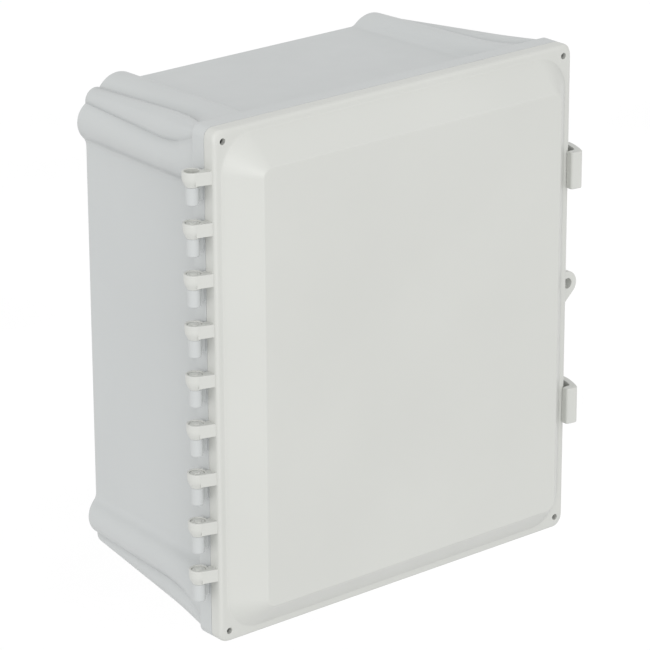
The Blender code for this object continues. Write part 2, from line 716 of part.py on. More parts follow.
def make_gasket(material):
    """A flat strip with a raised bead, lying in the channel of the cover."""
    half = GASKET_WIDTH / 2
    steps = (
        (half, CHANNEL_FLOOR_Y + 0.3),
        (half, GASKET_REAR_Y - 0.8),
        (half - 0.9, GASKET_REAR_Y),
        (-half + 0.9, GASKET_REAR_Y),
        (-half, GASKET_REAR_Y - 0.8),
        (-half, CHANNEL_FLOOR_Y + 0.3),
    )
    built = bmesh.new()
    rows = []
    for offset, y in steps:
        points = plain(GASKET_HALF_X + offset, GASKET_HALF_Z + offset, GASKET_RADIUS + offset)
        rows.append([built.verts.new((x, y, z)) for x, z in points])
    count = len(rows[0])
    for index_row, row in enumerate(rows):
        after_row = rows[(index_row + 1) % len(rows)]
        for index in range(count):
            after = (index + 1) % count
            built.faces.new((row[index], row[after], after_row[after], after_row[index]))
    return finish_mesh("cover_gasket", built, material, 35.0, location=(HINGE_X, HINGE_Y, 0.0))


def make_hinge_pin(index, top, material):
    """A headed pin: the head sits on the floor of the knuckle cup and the shank ends in the base knuckle."""
    cup = FIRST_CUP_DEPTH if index == 0 else KNUCKLE_CUP_DEPTH
    floor = -cup + 0.3
    foot = -KNUCKLE_HEIGHT - HINGE_GAP - BASE_BORE_DEPTH + 0.4
    profile = [
        (PIN_RADIUS, foot),
        (PIN_RADIUS, floor),
        (PIN_HEAD_RADIUS, floor),
        (PIN_HEAD_RADIUS, floor + PIN_HEAD_HEIGHT),
        (PIN_NUB_RADIUS, floor + PIN_HEAD_HEIGHT),
        (PIN_NUB_RADIUS, floor + PIN_HEAD_HEIGHT + PIN_NUB_HEIGHT),
    ]
    built = bmesh.new()
    turned(built, profile, (HINGE_X, HINGE_Y, top), "Z", SMALL_SIDES)
    name = "hinge_pin_%d" % (index + 1)
    return finish_mesh(name, built, material, 35.0, location=(HINGE_X, HINGE_Y, top))


def latch_outline():
    """The plan of a latch: a lip in front of the cover rim, an arched side wall and the pivot barrel."""
    lip_rear = COVER_RIM_Y - 0.4
    points = [
        (161.0, lip_rear),
        (161.0, lip_rear - 4.0),
        (161.6, lip_rear - 5.1),
        (163.2, lip_rear - 5.9),
        (168.2, lip_rear - 6.7),
        (170.0, lip_rear - 6.3),
        (171.2, lip_rear - 5.0),
        (173.2, lip_rear - 0.9),
        (175.4, lip_rear + 5.0),
        (177.2, lip_rear + 11.6),
    ]
    points += arc((LATCH_X, LATCH_Y), LATCH_BARREL, -0.35, 1.1 * math.pi, 13)
    points += [
        (167.4, LATCH_Y - 4.8),
        (171.4, LATCH_Y - LATCH_BARREL - 0.2),
        (171.9, LATCH_Y - LATCH_BARREL - 2.6),
        (170.4, lip_rear + 4.6),
        (168.9, lip_rear + 1.2),
        (167.6, lip_rear),
    ]
    return points


def make_latch(name, height, material):
    built = bmesh.new()
    half = LATCH_HEIGHT / 2
    prism_along_z(built, latch_outline(), height - half, height + half)
    origin = (LATCH_X, LATCH_Y, height)
    latch = finish_mesh(name, built, None, location=origin)

    cut = bmesh.new()
    window = LUG_HEIGHT / 2 + LUG_WINDOW_GAP
    radius = LUG_RADIUS + LUG_CLEARANCE
    ring = arc((LATCH_X, LATCH_Y), radius, -math.pi / 2, 0.06 * math.pi, 11)
    reach = LATCH_BARREL * 2
    points = ring + [(LATCH_X + reach, LATCH_Y + 1.0), (LATCH_X + reach, LATCH_Y + reach)]
    points += [(LATCH_X - reach, LATCH_Y + reach), (LATCH_X - reach, LATCH_Y - radius)]
    prism_along_z(cut, points, height - window, height + window)
    apply_boolean(latch, "DIFFERENCE", finish_mesh("latch_window", cut, None, location=origin))

    cut = bmesh.new()
    profile = [
        (0.0, -half - 1.0),
        (LATCH_BORE, -half - 1.0),
        (LATCH_BORE, half - LATCH_PIN_HEAD_HEIGHT - 0.3),
        (LATCH_PIN_HEAD + 0.3, half - LATCH_PIN_HEAD_HEIGHT - 0.3),
        (LATCH_PIN_HEAD + 0.3, half + 1.0),
        (0.0, half + 1.0),
    ]
    turned(cut, profile, origin, "Z", SMALL_SIDES)
    apply_boolean(latch, "DIFFERENCE", finish_mesh("latch_bore", cut, None, location=origin))
    latch.data.materials.clear()
    latch.data.materials.append(material)
    smooth(latch)
    return latch


def make_latch_pin(name, height, material):
    half = LATCH_HEIGHT / 2
    head = half - LATCH_PIN_HEAD_HEIGHT
    profile = [
        (LATCH_PIN_RADIUS - 0.3, -half + 0.2),
        (LATCH_PIN_RADIUS, -half + 0.6),
        (LATCH_PIN_RADIUS, head),
        (LATCH_PIN_HEAD, head),
        (LATCH_PIN_HEAD, half - 0.3),
        (LATCH_PIN_HEAD - 0.3, half),
    ]
    origin = (LATCH_X, LATCH_Y, height)
    built = bmesh.new()
    turned(built, profile, origin, "Z", SMALL_SIDES)
    return finish_mesh(name, built, material, 35.0, location=origin)


def make_insert(name, centre, radius, bore, length, material):
    """A threaded insert with a chamfered front end, which is at the centre given."""
    profile = [
        (bore, 0.0),
        (radius - 0.4, 0.0),
        (radius, 0.4),
        (radius, length),
        (bore, length),
        (bore, 0.0),
    ]
    built = bmesh.new()
    turned(built, profile, centre, "Y", SMALL_SIDES)
    return finish_mesh(name, built, material, 35.0, location=centre)


def make_panel(material):
    points = plain(PANEL_HALF_X, PANEL_HALF_Z, PANEL_RADIUS)
    front_y = PANEL_REAR_Y - PANEL_THICKNESS
    clear_x = POST_X - PANEL_CLEAR_MARGIN
    clear_z = POST_Z - PANEL_CLEAR_MARGIN
    between_screws = plain(clear_x, clear_z, PANEL_RADIUS)
    built = bmesh.new()
    loft(built, [(between_screws, front_y), (points, front_y), (points, PANEL_REAR_Y)])
    panel = finish_mesh("back_panel", built, None)
    cut = bmesh.new()
    for sign_x, sign_z in CORNERS:
        centre = (sign_x * POST_X, PANEL_REAR_Y, sign_z * POST_Z)
        cylinder(cut, centre, "Y", PANEL_HOLE_RADIUS, -PANEL_THICKNESS - 1.0, 1.0, SMALL_SIDES)
    apply_boolean(panel, "DIFFERENCE", finish_mesh("panel_holes", cut, None))
    panel.data.materials.clear()
    panel.data.materials.append(material)
    smooth(panel)
    return panel


def make_panel_screw(name, centre, material):
    """A pan-head screw with a slot, its head just clear of the panel front."""
    head = PANEL_SCREW_HEAD
    profile = [
        (PANEL_SCREW_RADIUS - 0.4, PANEL_SCREW_LENGTH),
        (PANEL_SCREW_RADIUS, PANEL_SCREW_LENGTH - 0.6),
        (PANEL_SCREW_RADIUS, 0.0),
        (head, 0.0),
        (head, -PANEL_SCREW_HEAD_HEIGHT * 0.55),
        (head - 0.5, -PANEL_SCREW_HEAD_HEIGHT * 0.85),
        (head - 1.3, -PANEL_SCREW_HEAD_HEIGHT),
    ]
    built = bmesh.new()
    turned(built, profile, centre, "Y", SMALL_SIDES)
    screw = finish_mesh(name, built, None, location=centre)
    cut = bmesh.new()
    half = PANEL_SCREW_SLOT / 2
    low = centre[2] - half
    high = centre[2] + half
    left = centre[0] - head - 1.0
    right = centre[0] + head + 1.0
    points = [(left, low), (left, high), (right, high), (right, low)]
    front = centre[1] - PANEL_SCREW_HEAD_HEIGHT
    prism_along_y(cut, points, front - 1.0, front + 1.2)
    apply_boolean(screw, "DIFFERENCE", finish_mesh("screw_slot", cut, None, location=centre))
    screw.data.materials.clear()
    screw.data.materials.append(material)
    smooth(screw)
    return screw


def main():
    clear_scene()
    make_base(make_material("base_plastic", (0.60, 0.61, 0.61), 0.42))
    make_cover(make_material("cover_plastic", (0.61, 0.62, 0.62), 0.42))
    make_gasket(make_material("gasket_rubber", (0.03, 0.03, 0.03), 0.8))
    for index, top in enumerate(hinge_tops()):
        name = "hinge_pin_%d_plastic" % (index + 1)
        make_hinge_pin(index, top, make_material(name, (0.60, 0.61, 0.61), 0.4))
    for name, height in zip(("upper", "lower"), LATCH_Z):
        plastic = make_material("latch_%s_plastic" % name, (0.6, 0.61, 0.61), 0.4)
        make_latch("latch_" + name, height, plastic)
        steel = make_material("latch_pin_%s_steel" % name, (0.6, 0.6, 0.6), 0.3, 1.0)
        make_latch_pin("latch_pin_" + name, height, steel)
    make_panel(make_material("panel_paint", (0.8, 0.8, 0.78), 0.5))
    for index, (sign_x, sign_z) in enumerate(CORNERS):
        number = index + 1
        brass = make_material("cover_insert_%d_brass" % number, (0.75, 0.55, 0.25), 0.35, 1.0)
        centre = (sign_x * SCREW_X, BASE_FRONT_Y + 0.6, sign_z * SCREW_Z)
        make_insert("cover_insert_%d" % number, centre, INSERT_RADIUS, INSERT_BORE, INSERT_LENGTH, brass)
        brass = make_material("mount_insert_%d_brass" % number, (0.75, 0.55, 0.25), 0.35, 1.0)
        centre = (sign_x * MOUNT_X, -MOUNT_INSERT_LENGTH - 0.5, sign_z * MOUNT_Z)
        name = "mount_insert_%d" % number
        make_insert(name, centre, MOUNT_INSERT_RADIUS, MOUNT_INSERT_BORE, MOUNT_INSERT_LENGTH, brass)
        brass = make_material("panel_insert_%d_brass" % number, (0.75, 0.55, 0.25), 0.35, 1.0)
        centre = (sign_x * POST_X, POST_FRONT_Y + 0.4, sign_z * POST_Z)
        make_insert("panel_insert_%d" % number, centre, INSERT_RADIUS, INSERT_BORE, INSERT_LENGTH, brass)
        steel = make_material("panel_screw_%d_steel" % number, (0.7, 0.7, 0.7), 0.3, 1.0)
        centre = (sign_x * POST_X, PANEL_REAR_Y - PANEL_THICKNESS - 0.3, sign_z * POST_Z)
        make_panel_screw("panel_screw_%d" % number, centre, steel)


main()
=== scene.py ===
"""Looks of the hinged plastic wall enclosure: fine pieces, materials, light and camera.

Every piece is built at its place in the CAD frame: origin at the centre of the rear wall face, +X to the
latch side, +Y towards the wall, +Z up. Lengths are in millimetres and become metres in make_object.
"""

import json
import math

import bmesh
import bpy
from mathutils import Matrix, Vector


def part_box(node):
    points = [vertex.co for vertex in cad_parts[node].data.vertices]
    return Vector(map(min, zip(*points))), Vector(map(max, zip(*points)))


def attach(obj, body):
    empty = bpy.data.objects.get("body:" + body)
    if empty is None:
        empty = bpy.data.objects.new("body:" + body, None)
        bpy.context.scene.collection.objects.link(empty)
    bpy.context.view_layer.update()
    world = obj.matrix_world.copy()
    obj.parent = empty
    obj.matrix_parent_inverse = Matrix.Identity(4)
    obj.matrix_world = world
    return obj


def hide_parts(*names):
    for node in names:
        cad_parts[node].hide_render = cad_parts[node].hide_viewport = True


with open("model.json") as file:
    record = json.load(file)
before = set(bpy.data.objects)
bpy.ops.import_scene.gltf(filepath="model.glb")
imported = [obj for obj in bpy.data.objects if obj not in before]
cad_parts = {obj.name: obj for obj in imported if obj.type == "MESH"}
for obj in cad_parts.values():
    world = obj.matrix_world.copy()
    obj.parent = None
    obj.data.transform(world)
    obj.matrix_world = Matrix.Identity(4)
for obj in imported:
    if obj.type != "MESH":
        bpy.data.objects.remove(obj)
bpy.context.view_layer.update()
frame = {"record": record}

MM = 0.001

# Depth stations, front is -Y.
COVER_FRONT_Y = -192.5
COVER_RIM_Y = -172.5
COVER_REAR_Y = -161.6
BASE_FRONT_Y = -161.3
FLANGE_REAR_Y = -147.5

# Cover plan.
RIM_HALF_X = 164.0
RIM_HALF_Z = 190.3
RIM_RADIUS = 7.0
RIM_EDGE_TRIM = 3.6
FADE_CORNER_RADIUS = 6.0
SLOPE_FOOT_INSET = 6.0
SLOPE_FOOT_RADIUS = 27.0
SLOPE_FOOT_TRIM = 1.0
PLATEAU_HALF_X = 136.8
PLATEAU_HALF_Z = 163.1
PLATEAU_RADIUS = 7.0
PLATEAU_TRIM = 1.0
COVER_WALL = 4.0
SKIRT_WALL = 3.2
INNER_SLOPE_DROP = 5.2
CEILING_INSET = 1.6
CEILING_TRIM = 2.0
COVER_HOLE_RADIUS = 2.3
COVER_HOLE_FLARE = 1.3
SMALL_TRIM = 0.5
FACE_MARGIN = 12.0
FLOOR_MARGIN = 0.9

# How far an added body reaches into a wall, and how far a cutter reaches past a face.
JOIN_DEPTH = 1.5
CUT_PAST = 1.0

# Gasket channel, given as the half sizes of its centre line.
GASKET_HALF_X = 151.5
GASKET_HALF_Z = 181.2
GASKET_RADIUS = 19.5
GASKET_WIDTH = 4.4
CHANNEL_WIDTH = 5.2
CHANNEL_RIB = 1.6
CHANNEL_RIB_Y = -162.0
CHANNEL_FLOOR_Y = -166.0
CHANNEL_TRIM = 0.3
GASKET_FRONT_Y = -165.7
GASKET_REAR_Y = -161.6
BEAD_ROUND = 0.9

# Body of the base.
BODY_REAR_HALF_X = 146.85
BODY_REAR_HALF_Z = 176.7
BODY_FRONT_HALF_X = 151.0
BODY_FRONT_HALF_Z = 181.0
BODY_WALL = 4.0
FLOOR_THICKNESS = 4.0
REAR_EDGE_TRIM = 1.6
LOBE_FILLET = 10.0
LOBE_REAR_HEIGHT = 7.35
SIDE_LOBE_RADIUS = 15.9
SIDE_LOBE_FROM_CORNER = 24.0
SIDE_LOBE_FRONT_HEIGHT = 11.8
END_LOBE_RADIUS = 20.0
END_LOBE_FROM_CORNER = 29.0
END_LOBE_FRONT_HEIGHT = 8.2
MIDDLE_LOBE_RADIUS = 9.0
MIDDLE_LOBE_REAR_CENTRE = 9.2
MIDDLE_LOBE_FRONT_RADIUS = 12.0
LOBE_FADE_Y = -115.0
LOBE_FADE_SHARE = 0.8
LOBE_FADE_TRIM = 14.0
LOBE_REACH = 45.0
MOUTH_RADIUS = 16.0
MOUTH_BLEND_Y = -128.0
MOUTH_SHARE = 0.967
MOUTH_TRIM = 6.0
FLANGE_PLATE = 4.0
FLANGE_SKIRT = 3.2
FLANGE_TRIM = 1.0
POCKET_HALF_X = 92.0
POCKET_HALF_Z = 124.0
POCKET_FROM_BODY = 0.4

# Hinge units.
KNUCKLE_RADIUS = 7.0
KNUCKLE_HEIGHT = 10.9
KNUCKLE_TAPER_HEIGHT = 4.8
KNUCKLE_ARM_HEIGHT = 9.6
KNUCKLE_BORE = 2.7
KNUCKLE_CUP_RADIUS = 5.3
KNUCKLE_CUP_DEPTH = 2.4
KNUCKLE_CUP_FLARE = 0.4
FIRST_CUP_DEPTH = 7.0
ARM_ROOT_DEPTH = 1.2
ARM_FROM_RIM = 2.2
ARM_INSET = 0.15
ARM_ROUND = 0.4
BASE_KNUCKLE_RADIUS = 4.6
BASE_KNUCKLE_HEIGHT = 13.2
BASE_KNUCKLE_ROUND = 1.6
BASE_BORE_DEPTH = 10.6
HINGE_GAP = 0.35
KNUCKLE_FOOT_DROP = 0.18
WEB_FRONT = 0.6
WEB_INSET = 0.2
PIN_GAP = 0.3
PIN_SHANK = 2.35
PIN_POINT = 0.8
PIN_NUB = 2.6
PIN_HEAD_HEIGHT = 1.4
PIN_NUB_HEIGHT = 0.5
HINGE_COUNT = 9

# Latches.
LATCH_LIP_X = 161.0
LATCH_LIP_GAP = 0.4
LATCH_ROUND = 0.6
LATCH_PATH_STEPS = 4
LATCH_BARREL = 6.4
LATCH_BORE = 2.3
LATCH_PIN_SHANK = 2.0
LATCH_PIN_HEAD = 3.4
LATCH_PIN_HEAD_HEIGHT = 0.9
LUG_HEIGHT = 9.6
LUG_RADIUS = 4.6
LUG_CLEARANCE = 0.5
LUG_WINDOW_GAP = 0.4
LUG_ROUND = 0.4

# Padlock tabs.
TAB_TIP_X = 167.3
TAB_TIP_Z = 2.8
TAB_TIP_RADIUS = 9.6
TAB_TOP_ANGLE = 110.0
TAB_LOW_ANGLE = -48.0
TAB_ROOT_DEPTH = 1.2
TAB_ROUND = 0.8
TAB_SEAM_ROUND = 0.3
TAB_SEAM_STEP = 0.02
TAB_HOLE_X = 167.7
TAB_HOLE_Z = 3.1
TAB_HOLE_RADIUS = 4.1
TAB_COVER_FRONT_Y = -169.0
TAB_BASE_REAR_Y = -158.9

# Threaded inserts, their bosses and the panel posts.
INSERT_GAP = 0.3
INSERT_BORES = {"cover": 2.4, "mount": 2.9, "panel": 2.4}
INSERT_BORE_ENDS = {"cover": (1.6, 1.9), "mount": (1.5, 1.5), "panel": (1.4, 2.1)}
INSERT_CHAMFER = 0.4
INSERT_GROOVE = 0.5
KNURL_DEPTH = 0.18
MOUNT_BOSS_RADIUS = 7.6
MOUNT_BOSS_FRONT_Y = -14.0
POST_RADIUS = 7.0
POST_FRONT_Y = -20.0
THREAD_PITCH = 0.8
THREAD_DEPTH = 0.25

# Back panel and its screws.
PANEL_RADIUS = 8.0
PANEL_TRIM = 0.4
PANEL_HOLE_RADIUS = 2.6
SCREW_SHANK = 1.9
SCREW_HEAD_HEIGHT = 2.6
SCREW_SLOT = 1.1
SCREW_SLOT_DEPTH = 1.2

# Fineness: points on each arc of a corner, sides of round pieces, steps on each rounded edge.
LOBE_POINTS = 16
MIDDLE_POINTS = 8
FILLET_POINTS = 8
STRAIGHT_POINTS = 10
TAB_POINTS = 28
CORNER_POINTS = 12
ROUND_SIDES = 48
EDGE_STEPS = 5

CORNERS = ((1, 1), (-1, 1), (-1, -1), (1, -1))


# ---- plans


def arc(centre, radius, start, end, count):
    """Points on an arc, both ends included; the angles are in radians."""
    points = []
    for step in range(count):
        angle = start + (end - start) * step / (count - 1)
        points.append((centre[0] + radius * math.cos(angle), centre[1] + radius * math.sin(angle)))
    return points


def circle_crossing(first, first_radius, second, second_radius):
    """The crossing of two circles that is on the left hand from the first centre to the second."""
    gap_a = second[0] - first[0]
    gap_b = second[1] - first[1]
    distance = math.hypot(gap_a, gap_b)
    along = (distance**2 + first_radius**2 - second_radius**2) / (2 * distance)
    across = math.sqrt(first_radius**2 - along**2)
    return (
        first[0] + (along * gap_a - across * gap_b) / distance,
        first[1] + (along * gap_b + across * gap_a) / distance,
    )


def lobed_corner(lobe_shape, middle_shape, inset=0.0):
    """Half of a corner cluster, from the straight wall to the tip of the corner.

    Each point is (a, b), the distances inward from the two wall planes. The lobe is (radius, height over
    the wall, distance of its centre from the corner) and the middle one is (radius, a, b) of its centre.
    """
    radius, height, from_corner = lobe_shape
    lobe = (radius - height, from_corner)
    reach = radius + LOBE_FILLET
    drop = radius - height + LOBE_FILLET
    fillet = (-LOBE_FILLET, from_corner + math.sqrt(reach**2 - drop**2))
    lobe_radius = radius - inset
    middle_radius = middle_shape[0] - inset
    middle = middle_shape[1:]
    turn = math.atan2(lobe[1] - fillet[1], lobe[0] - fillet[0])
    points = arc(fillet, LOBE_FILLET + inset, 0.0, turn, FILLET_POINTS)[:-1]
    notch = circle_crossing(middle, middle_radius, lobe, lobe_radius)
    start = turn + math.pi
    end = math.atan2(notch[1] - lobe[1], notch[0] - lobe[0])
    while end < start:
        end += 2 * math.pi
    points += arc(lobe, lobe_radius, start, end, LOBE_POINTS)
    start = math.atan2(notch[1] - middle[1], notch[0] - middle[0])
    if start < 0:
        start += 2 * math.pi
    points += arc(middle, middle_radius, start, 1.25 * math.pi, MIDDLE_POINTS)[1:]
    return points


def filled_corner(lobe_half, height, other_height, radius, walls_too):
    """The half corner made straight, at the height given, from the crest of the lobe to a round corner.

    With walls_too the whole run is at that height, as on the flange.
    """
    crest = min(range(FILLET_POINTS - 1 + LOBE_POINTS), key=lambda index: lobe_half[index][0])
    points = list(lobe_half[: crest + 1])
    if walls_too:
        points = [(-height, b) for _, b in points]
    rest = len(lobe_half) - len(points) - MIDDLE_POINTS
    start = points[-1][1]
    end = radius - other_height
    points += [(-height, start + (end - start) * (step + 1) / (rest + 1)) for step in range(rest)]
    centre = (radius - height, radius - other_height)
    return points + arc(centre, radius, math.pi, 1.25 * math.pi, MIDDLE_POINTS)


def matched_corner(radius):
    """As many points as half of a lobed corner: a straight run of wall, then half of a round corner."""
    points = []
    for step in range(STRAIGHT_POINTS):
        points.append((0.0, LOBE_REACH + (radius - LOBE_REACH) * step / STRAIGHT_POINTS))
    count = FILLET_POINTS - 1 + LOBE_POINTS + MIDDLE_POINTS - 1 - STRAIGHT_POINTS
    return points + arc((radius, radius), radius, math.pi, 1.25 * math.pi, count)


def outline(half_x, half_z, side_half, end_half):
    """A closed outline from the half corner beside the long walls and the one beside the top and bottom."""
    whole = side_half + [(b, a) for a, b in reversed(end_half[:-1])]
    points = []
    for index, (sign_x, sign_z) in enumerate(CORNERS):
        corner = whole if index % 2 == 0 else whole[::-1]
        for a, b in corner:
            points.append((sign_x * (half_x - a), sign_z * (half_z - b)))
    return points


def matched(half_x, half_z, radius):
    """A rounded rectangle that can be joined point for point to a lobed outline."""
    half = matched_corner(radius)
    return outline(half_x, half_z, half, half)


def plain(half_x, half_z, radius):
    half = arc((radius, radius), radius, math.pi, 1.25 * math.pi, CORNER_POINTS)
    return outline(half_x, half_z, half, half)


def rear_lobed(margin=0.0, inset=0.0):
    """The lobed outline at the rear face, moved inward as a whole by the margin or thinned by the inset."""
    middle = (MIDDLE_LOBE_RADIUS, MIDDLE_LOBE_REAR_CENTRE, MIDDLE_LOBE_REAR_CENTRE)
    side = lobed_corner((SIDE_LOBE_RADIUS, LOBE_REAR_HEIGHT, SIDE_LOBE_FROM_CORNER), middle, inset)
    end = lobed_corner((END_LOBE_RADIUS, LOBE_REAR_HEIGHT, END_LOBE_FROM_CORNER), middle, inset)
    return outline(BODY_REAR_HALF_X - margin, BODY_REAR_HALF_Z - margin, side, end)


def front_outlines():
    """Three outlines behind the flange: lobed, filled out to a plain corner, and the flange itself."""
    share = FLANGE_REAR_Y / BASE_FRONT_Y
    half_x = BODY_REAR_HALF_X + share * (BODY_FRONT_HALF_X - BODY_REAR_HALF_X)
    half_z = BODY_REAR_HALF_Z + share * (BODY_FRONT_HALF_Z - BODY_REAR_HALF_Z)
    side_height = SIDE_LOBE_FRONT_HEIGHT
    end_height = END_LOBE_FRONT_HEIGHT
    radius = MIDDLE_LOBE_FRONT_RADIUS
    middle = (radius, radius - side_height, radius - end_height)
    side = lobed_corner((SIDE_LOBE_RADIUS, side_height, SIDE_LOBE_FROM_CORNER), middle)
    middle = (radius, radius - end_height, radius - side_height)
    end = lobed_corner((END_LOBE_RADIUS, end_height, END_LOBE_FROM_CORNER), middle)
    filled_side = filled_corner(side, side_height, end_height, FADE_CORNER_RADIUS, False)
    filled_end = filled_corner(end, end_height, side_height, FADE_CORNER_RADIUS, False)
    rim_x = RIM_HALF_X - half_x
    rim_z = RIM_HALF_Z - half_z
    rim_side = filled_corner(side, rim_x, rim_z, RIM_RADIUS, True)
    rim_end = filled_corner(end, rim_z, rim_x, RIM_RADIUS, True)
    return (
        outline(half_x, half_z, side, end),
        outline(half_x, half_z, filled_side, filled_end),
        outline(half_x, half_z, rim_side, rim_end),
    )


def blend(first, second, share):
    return [
        (a[0] * (1 - share) + b[0] * share, a[1] * (1 - share) + b[1] * share)
        for a, b in zip(first, second)
    ]


def offset(points, distance, kept_x=None):
    """A closed outline moved inwards by the distance; points on the line x = kept_x stay."""
    count = len(points)
    area = sum(
        points[i - 1][0] * points[i][1] - points[i][0] * points[i - 1][1] for i in range(count)
    )
    side = 1.0 if area > 0 else -1.0
    moved = []
    for index, (x, y) in enumerate(points):
        if kept_x is not None and abs(x - kept_x) < 1e-6:
            moved.append((x, y))
            continue
        before = Vector(points[index - 1])
        here = Vector((x, y))
        after = Vector(points[(index + 1) % count])
        first = (here - before).normalized()
        second = (after - here).normalized()
        inward = Vector((-first.y - second.y, first.x + second.x)) * side
        inward.normalize()
        slant = max(0.5, inward.dot(Vector((-first.y, first.x)) * side))
        here += inward * (distance / slant)
        moved.append((here.x, here.y))
    return moved


def smooth_path(points, steps):
    """A curve through all of the points of an open path."""
    ends = [points[0]] + points + [points[-1]]
    path = [points[0]]
    for index in range(1, len(points)):
        before, first, second, after = (Vector(ends[index + shift]) for shift in (-1, 0, 1, 2))
        for step in range(1, steps + 1):
            t = step / steps
            here = 0.5 * (
                2 * first
                + (second - before) * t
                + (2 * before - 5 * first + 4 * second - after) * t**2
                + (3 * first - before - 3 * second + after) * t**3
            )
            path.append((here.x, here.y))
    return path


# ---- solids


def widest(points):
    return max(point[0] for point in points)


def towards(ring, other, trim):
    """The ring that lies the trim away from one ring, on the way to the other."""
    gap = math.hypot(widest(ring[0]) - widest(other[0]), ring[1] - other[1])
    share = min(0.5, trim / max(gap, 1e-6))
    return blend(ring[0], other[0], share), ring[1] + (other[1] - ring[1]) * share


def softened(rings):
    """Turns (outline, y, trim) rings into (outline, y) rings, with a curve for each ring with a trim."""
    result = []
    for index, ring in enumerate(rings):
        points, y, trim = ring
        if trim == 0.0:
            result.append((points, y))
            continue
        start = towards(ring, rings[index - 1], trim)
        end = towards(ring, rings[(index + 1) % len(rings)], trim)
        for step in range(EDGE_STEPS + 1):
            t = step / EDGE_STEPS
            first = blend(start[0], points, t)
            second = blend(points, end[0], t)
            level = (1 - t) ** 2 * start[1] + 2 * t * (1 - t) * y + t**2 * end[1]
            result.append((blend(first, second, t), level))
    return result


def add_rows(target, rows, closed_loop=False):
    """Joins rows of points into a skin, closed round each row and capped at both ends or made a loop."""
    made = [[target.verts.new(point) for point in row] for row in rows]
    count = len(made[0])
    pairs = list(zip(made, made[1:]))
    if closed_loop:
        pairs.append((made[-1], made[0]))
    for low, high in pairs:
        for index in range(count):
            after = (index + 1) % count
            target.faces.new((low[index], low[after], high[after], high[index]))
    if not closed_loop:
        target.faces.new(made[0])
        target.faces.new(made[-1][::-1])


def loft(target, rings):
    add_rows(target, [[(x, y, z) for x, z in points] for points, y in rings])


def edge_levels(low, high, low_round, high_round):
    """(inset, level) pairs along a prism whose two end edges are rounded."""
    angles = [math.pi / 2 * step / EDGE_STEPS for step in range(EDGE_STEPS + 1)]
    near = [(low_round * (1 - math.sin(a)), low + low_round * (1 - math.cos(a))) for a in angles]
    far = [(high_round * (1 - math.cos(a)), high - high_round * (1 - math.sin(a))) for a in angles]
    return near + far


def prism(target, axis, points, low, high, low_round=0.0, high_round=0.0, kept_x=None):
    """A closed prism along Y or Z from an (x, z) or (x, y) outline, with its end edges rounded."""
    if low_round == 0.0 and high_round == 0.0:
        levels = [(0.0, low), (0.0, high)]
    else:
        levels = edge_levels(low, high, low_round, high_round)
    rows = []
    for inset, level in levels:
        plan = offset(points, inset, kept_x) if inset > 0.0 else points
        if axis == "Z":
            rows.append([(x, y, level) for x, y in plan])
        else:
            rows.append([(x, level, z) for x, z in plan])
    add_rows(target, rows)


def turned(target, profile, centre, axis, sides=ROUND_SIDES, ripple=0.0):
    """A turned body from (radius, height) pairs, or a ring if the profile ends where it starts.

    A ripple takes that much off every second side of the widest part, as knurling does.
    """
    closed_loop = profile[0] == profile[-1]
    used = profile[:-1] if closed_loop else profile
    outer = max(radius for radius, _ in used)
    rows = []
    for radius, height in used:
        row = []
        for side in range(sides):
            angle = 2 * math.pi * side / sides
            reach = radius
            if ripple > 0.0 and radius > outer - 0.05 and side % 2:
                reach -= ripple
            across = reach * math.cos(angle)
            up = reach * math.sin(angle)
            if axis == "Z":
                row.append((centre[0] + across, centre[1] + up, centre[2] + height))
            else:
                row.append((centre[0] + across, centre[1] + height, centre[2] + up))
        rows.append(row)
    add_rows(target, rows, closed_loop)


def cylinder(target, centre, axis, radius, low, high):
    turned(target, [(radius, low), (radius, high)], centre, axis)


def rounded_profile(profile, trims):
    """The profile with each corner replaced by a curve that starts and ends its trim away."""
    result = []
    for index, (point, trim) in enumerate(zip(profile, trims)):
        if trim == 0.0:
            result.append(point)
            continue
        here = Vector(point)
        start = here + (Vector(profile[index - 1]) - here).normalized() * trim
        end = here + (Vector(profile[(index + 1) % len(profile)]) - here).normalized() * trim
        for step in range(EDGE_STEPS):
            t = step / (EDGE_STEPS - 1)
            on_curve = (1 - t) ** 2 * start + 2 * t * (1 - t) * here + t**2 * end
            result.append((on_curve.x, on_curve.y))
    return result


def thread_profile(radius, low, high, depth):
    """A zigzag of (radius, height) pairs that stands for a thread cut to the depth given."""
    turns = int(abs(high - low) / THREAD_PITCH)
    pitch = (high - low) / turns
    points = []
    for turn in range(turns):
        start = low + pitch * turn
        points.append((radius, start + pitch * 0.1))
        points.append((radius + depth, start + pitch * 0.45))
        points.append((radius + depth, start + pitch * 0.55))
        points.append((radius, start + pitch * 0.9))
    return points


def make_object(name, built):
    bmesh.ops.recalc_face_normals(built, faces=built.faces)
    bmesh.ops.transform(built, matrix=Matrix.Scale(MM, 4), verts=built.verts)
    mesh = bpy.data.meshes.new(name)
    built.to_mesh(mesh)
    built.free()
    made = bpy.data.objects.new(name, mesh)
    bpy.context.scene.collection.objects.link(made)
    return made


def apply_boolean(made, operation, built):
    """Adds or cuts a helper body with one exact Boolean, applies it, and removes the helper."""
    helper = make_object("helper", built)
    modifier = made.modifiers.new("helper", "BOOLEAN")
    modifier.operation = operation
    modifier.solver = "EXACT"
    modifier.object = helper
    graph = bpy.context.evaluated_depsgraph_get()
    mesh = bpy.data.meshes.new_from_object(made.evaluated_get(graph))
    made.modifiers.clear()
    made.data = mesh
    bpy.data.objects.remove(helper, do_unlink=True)


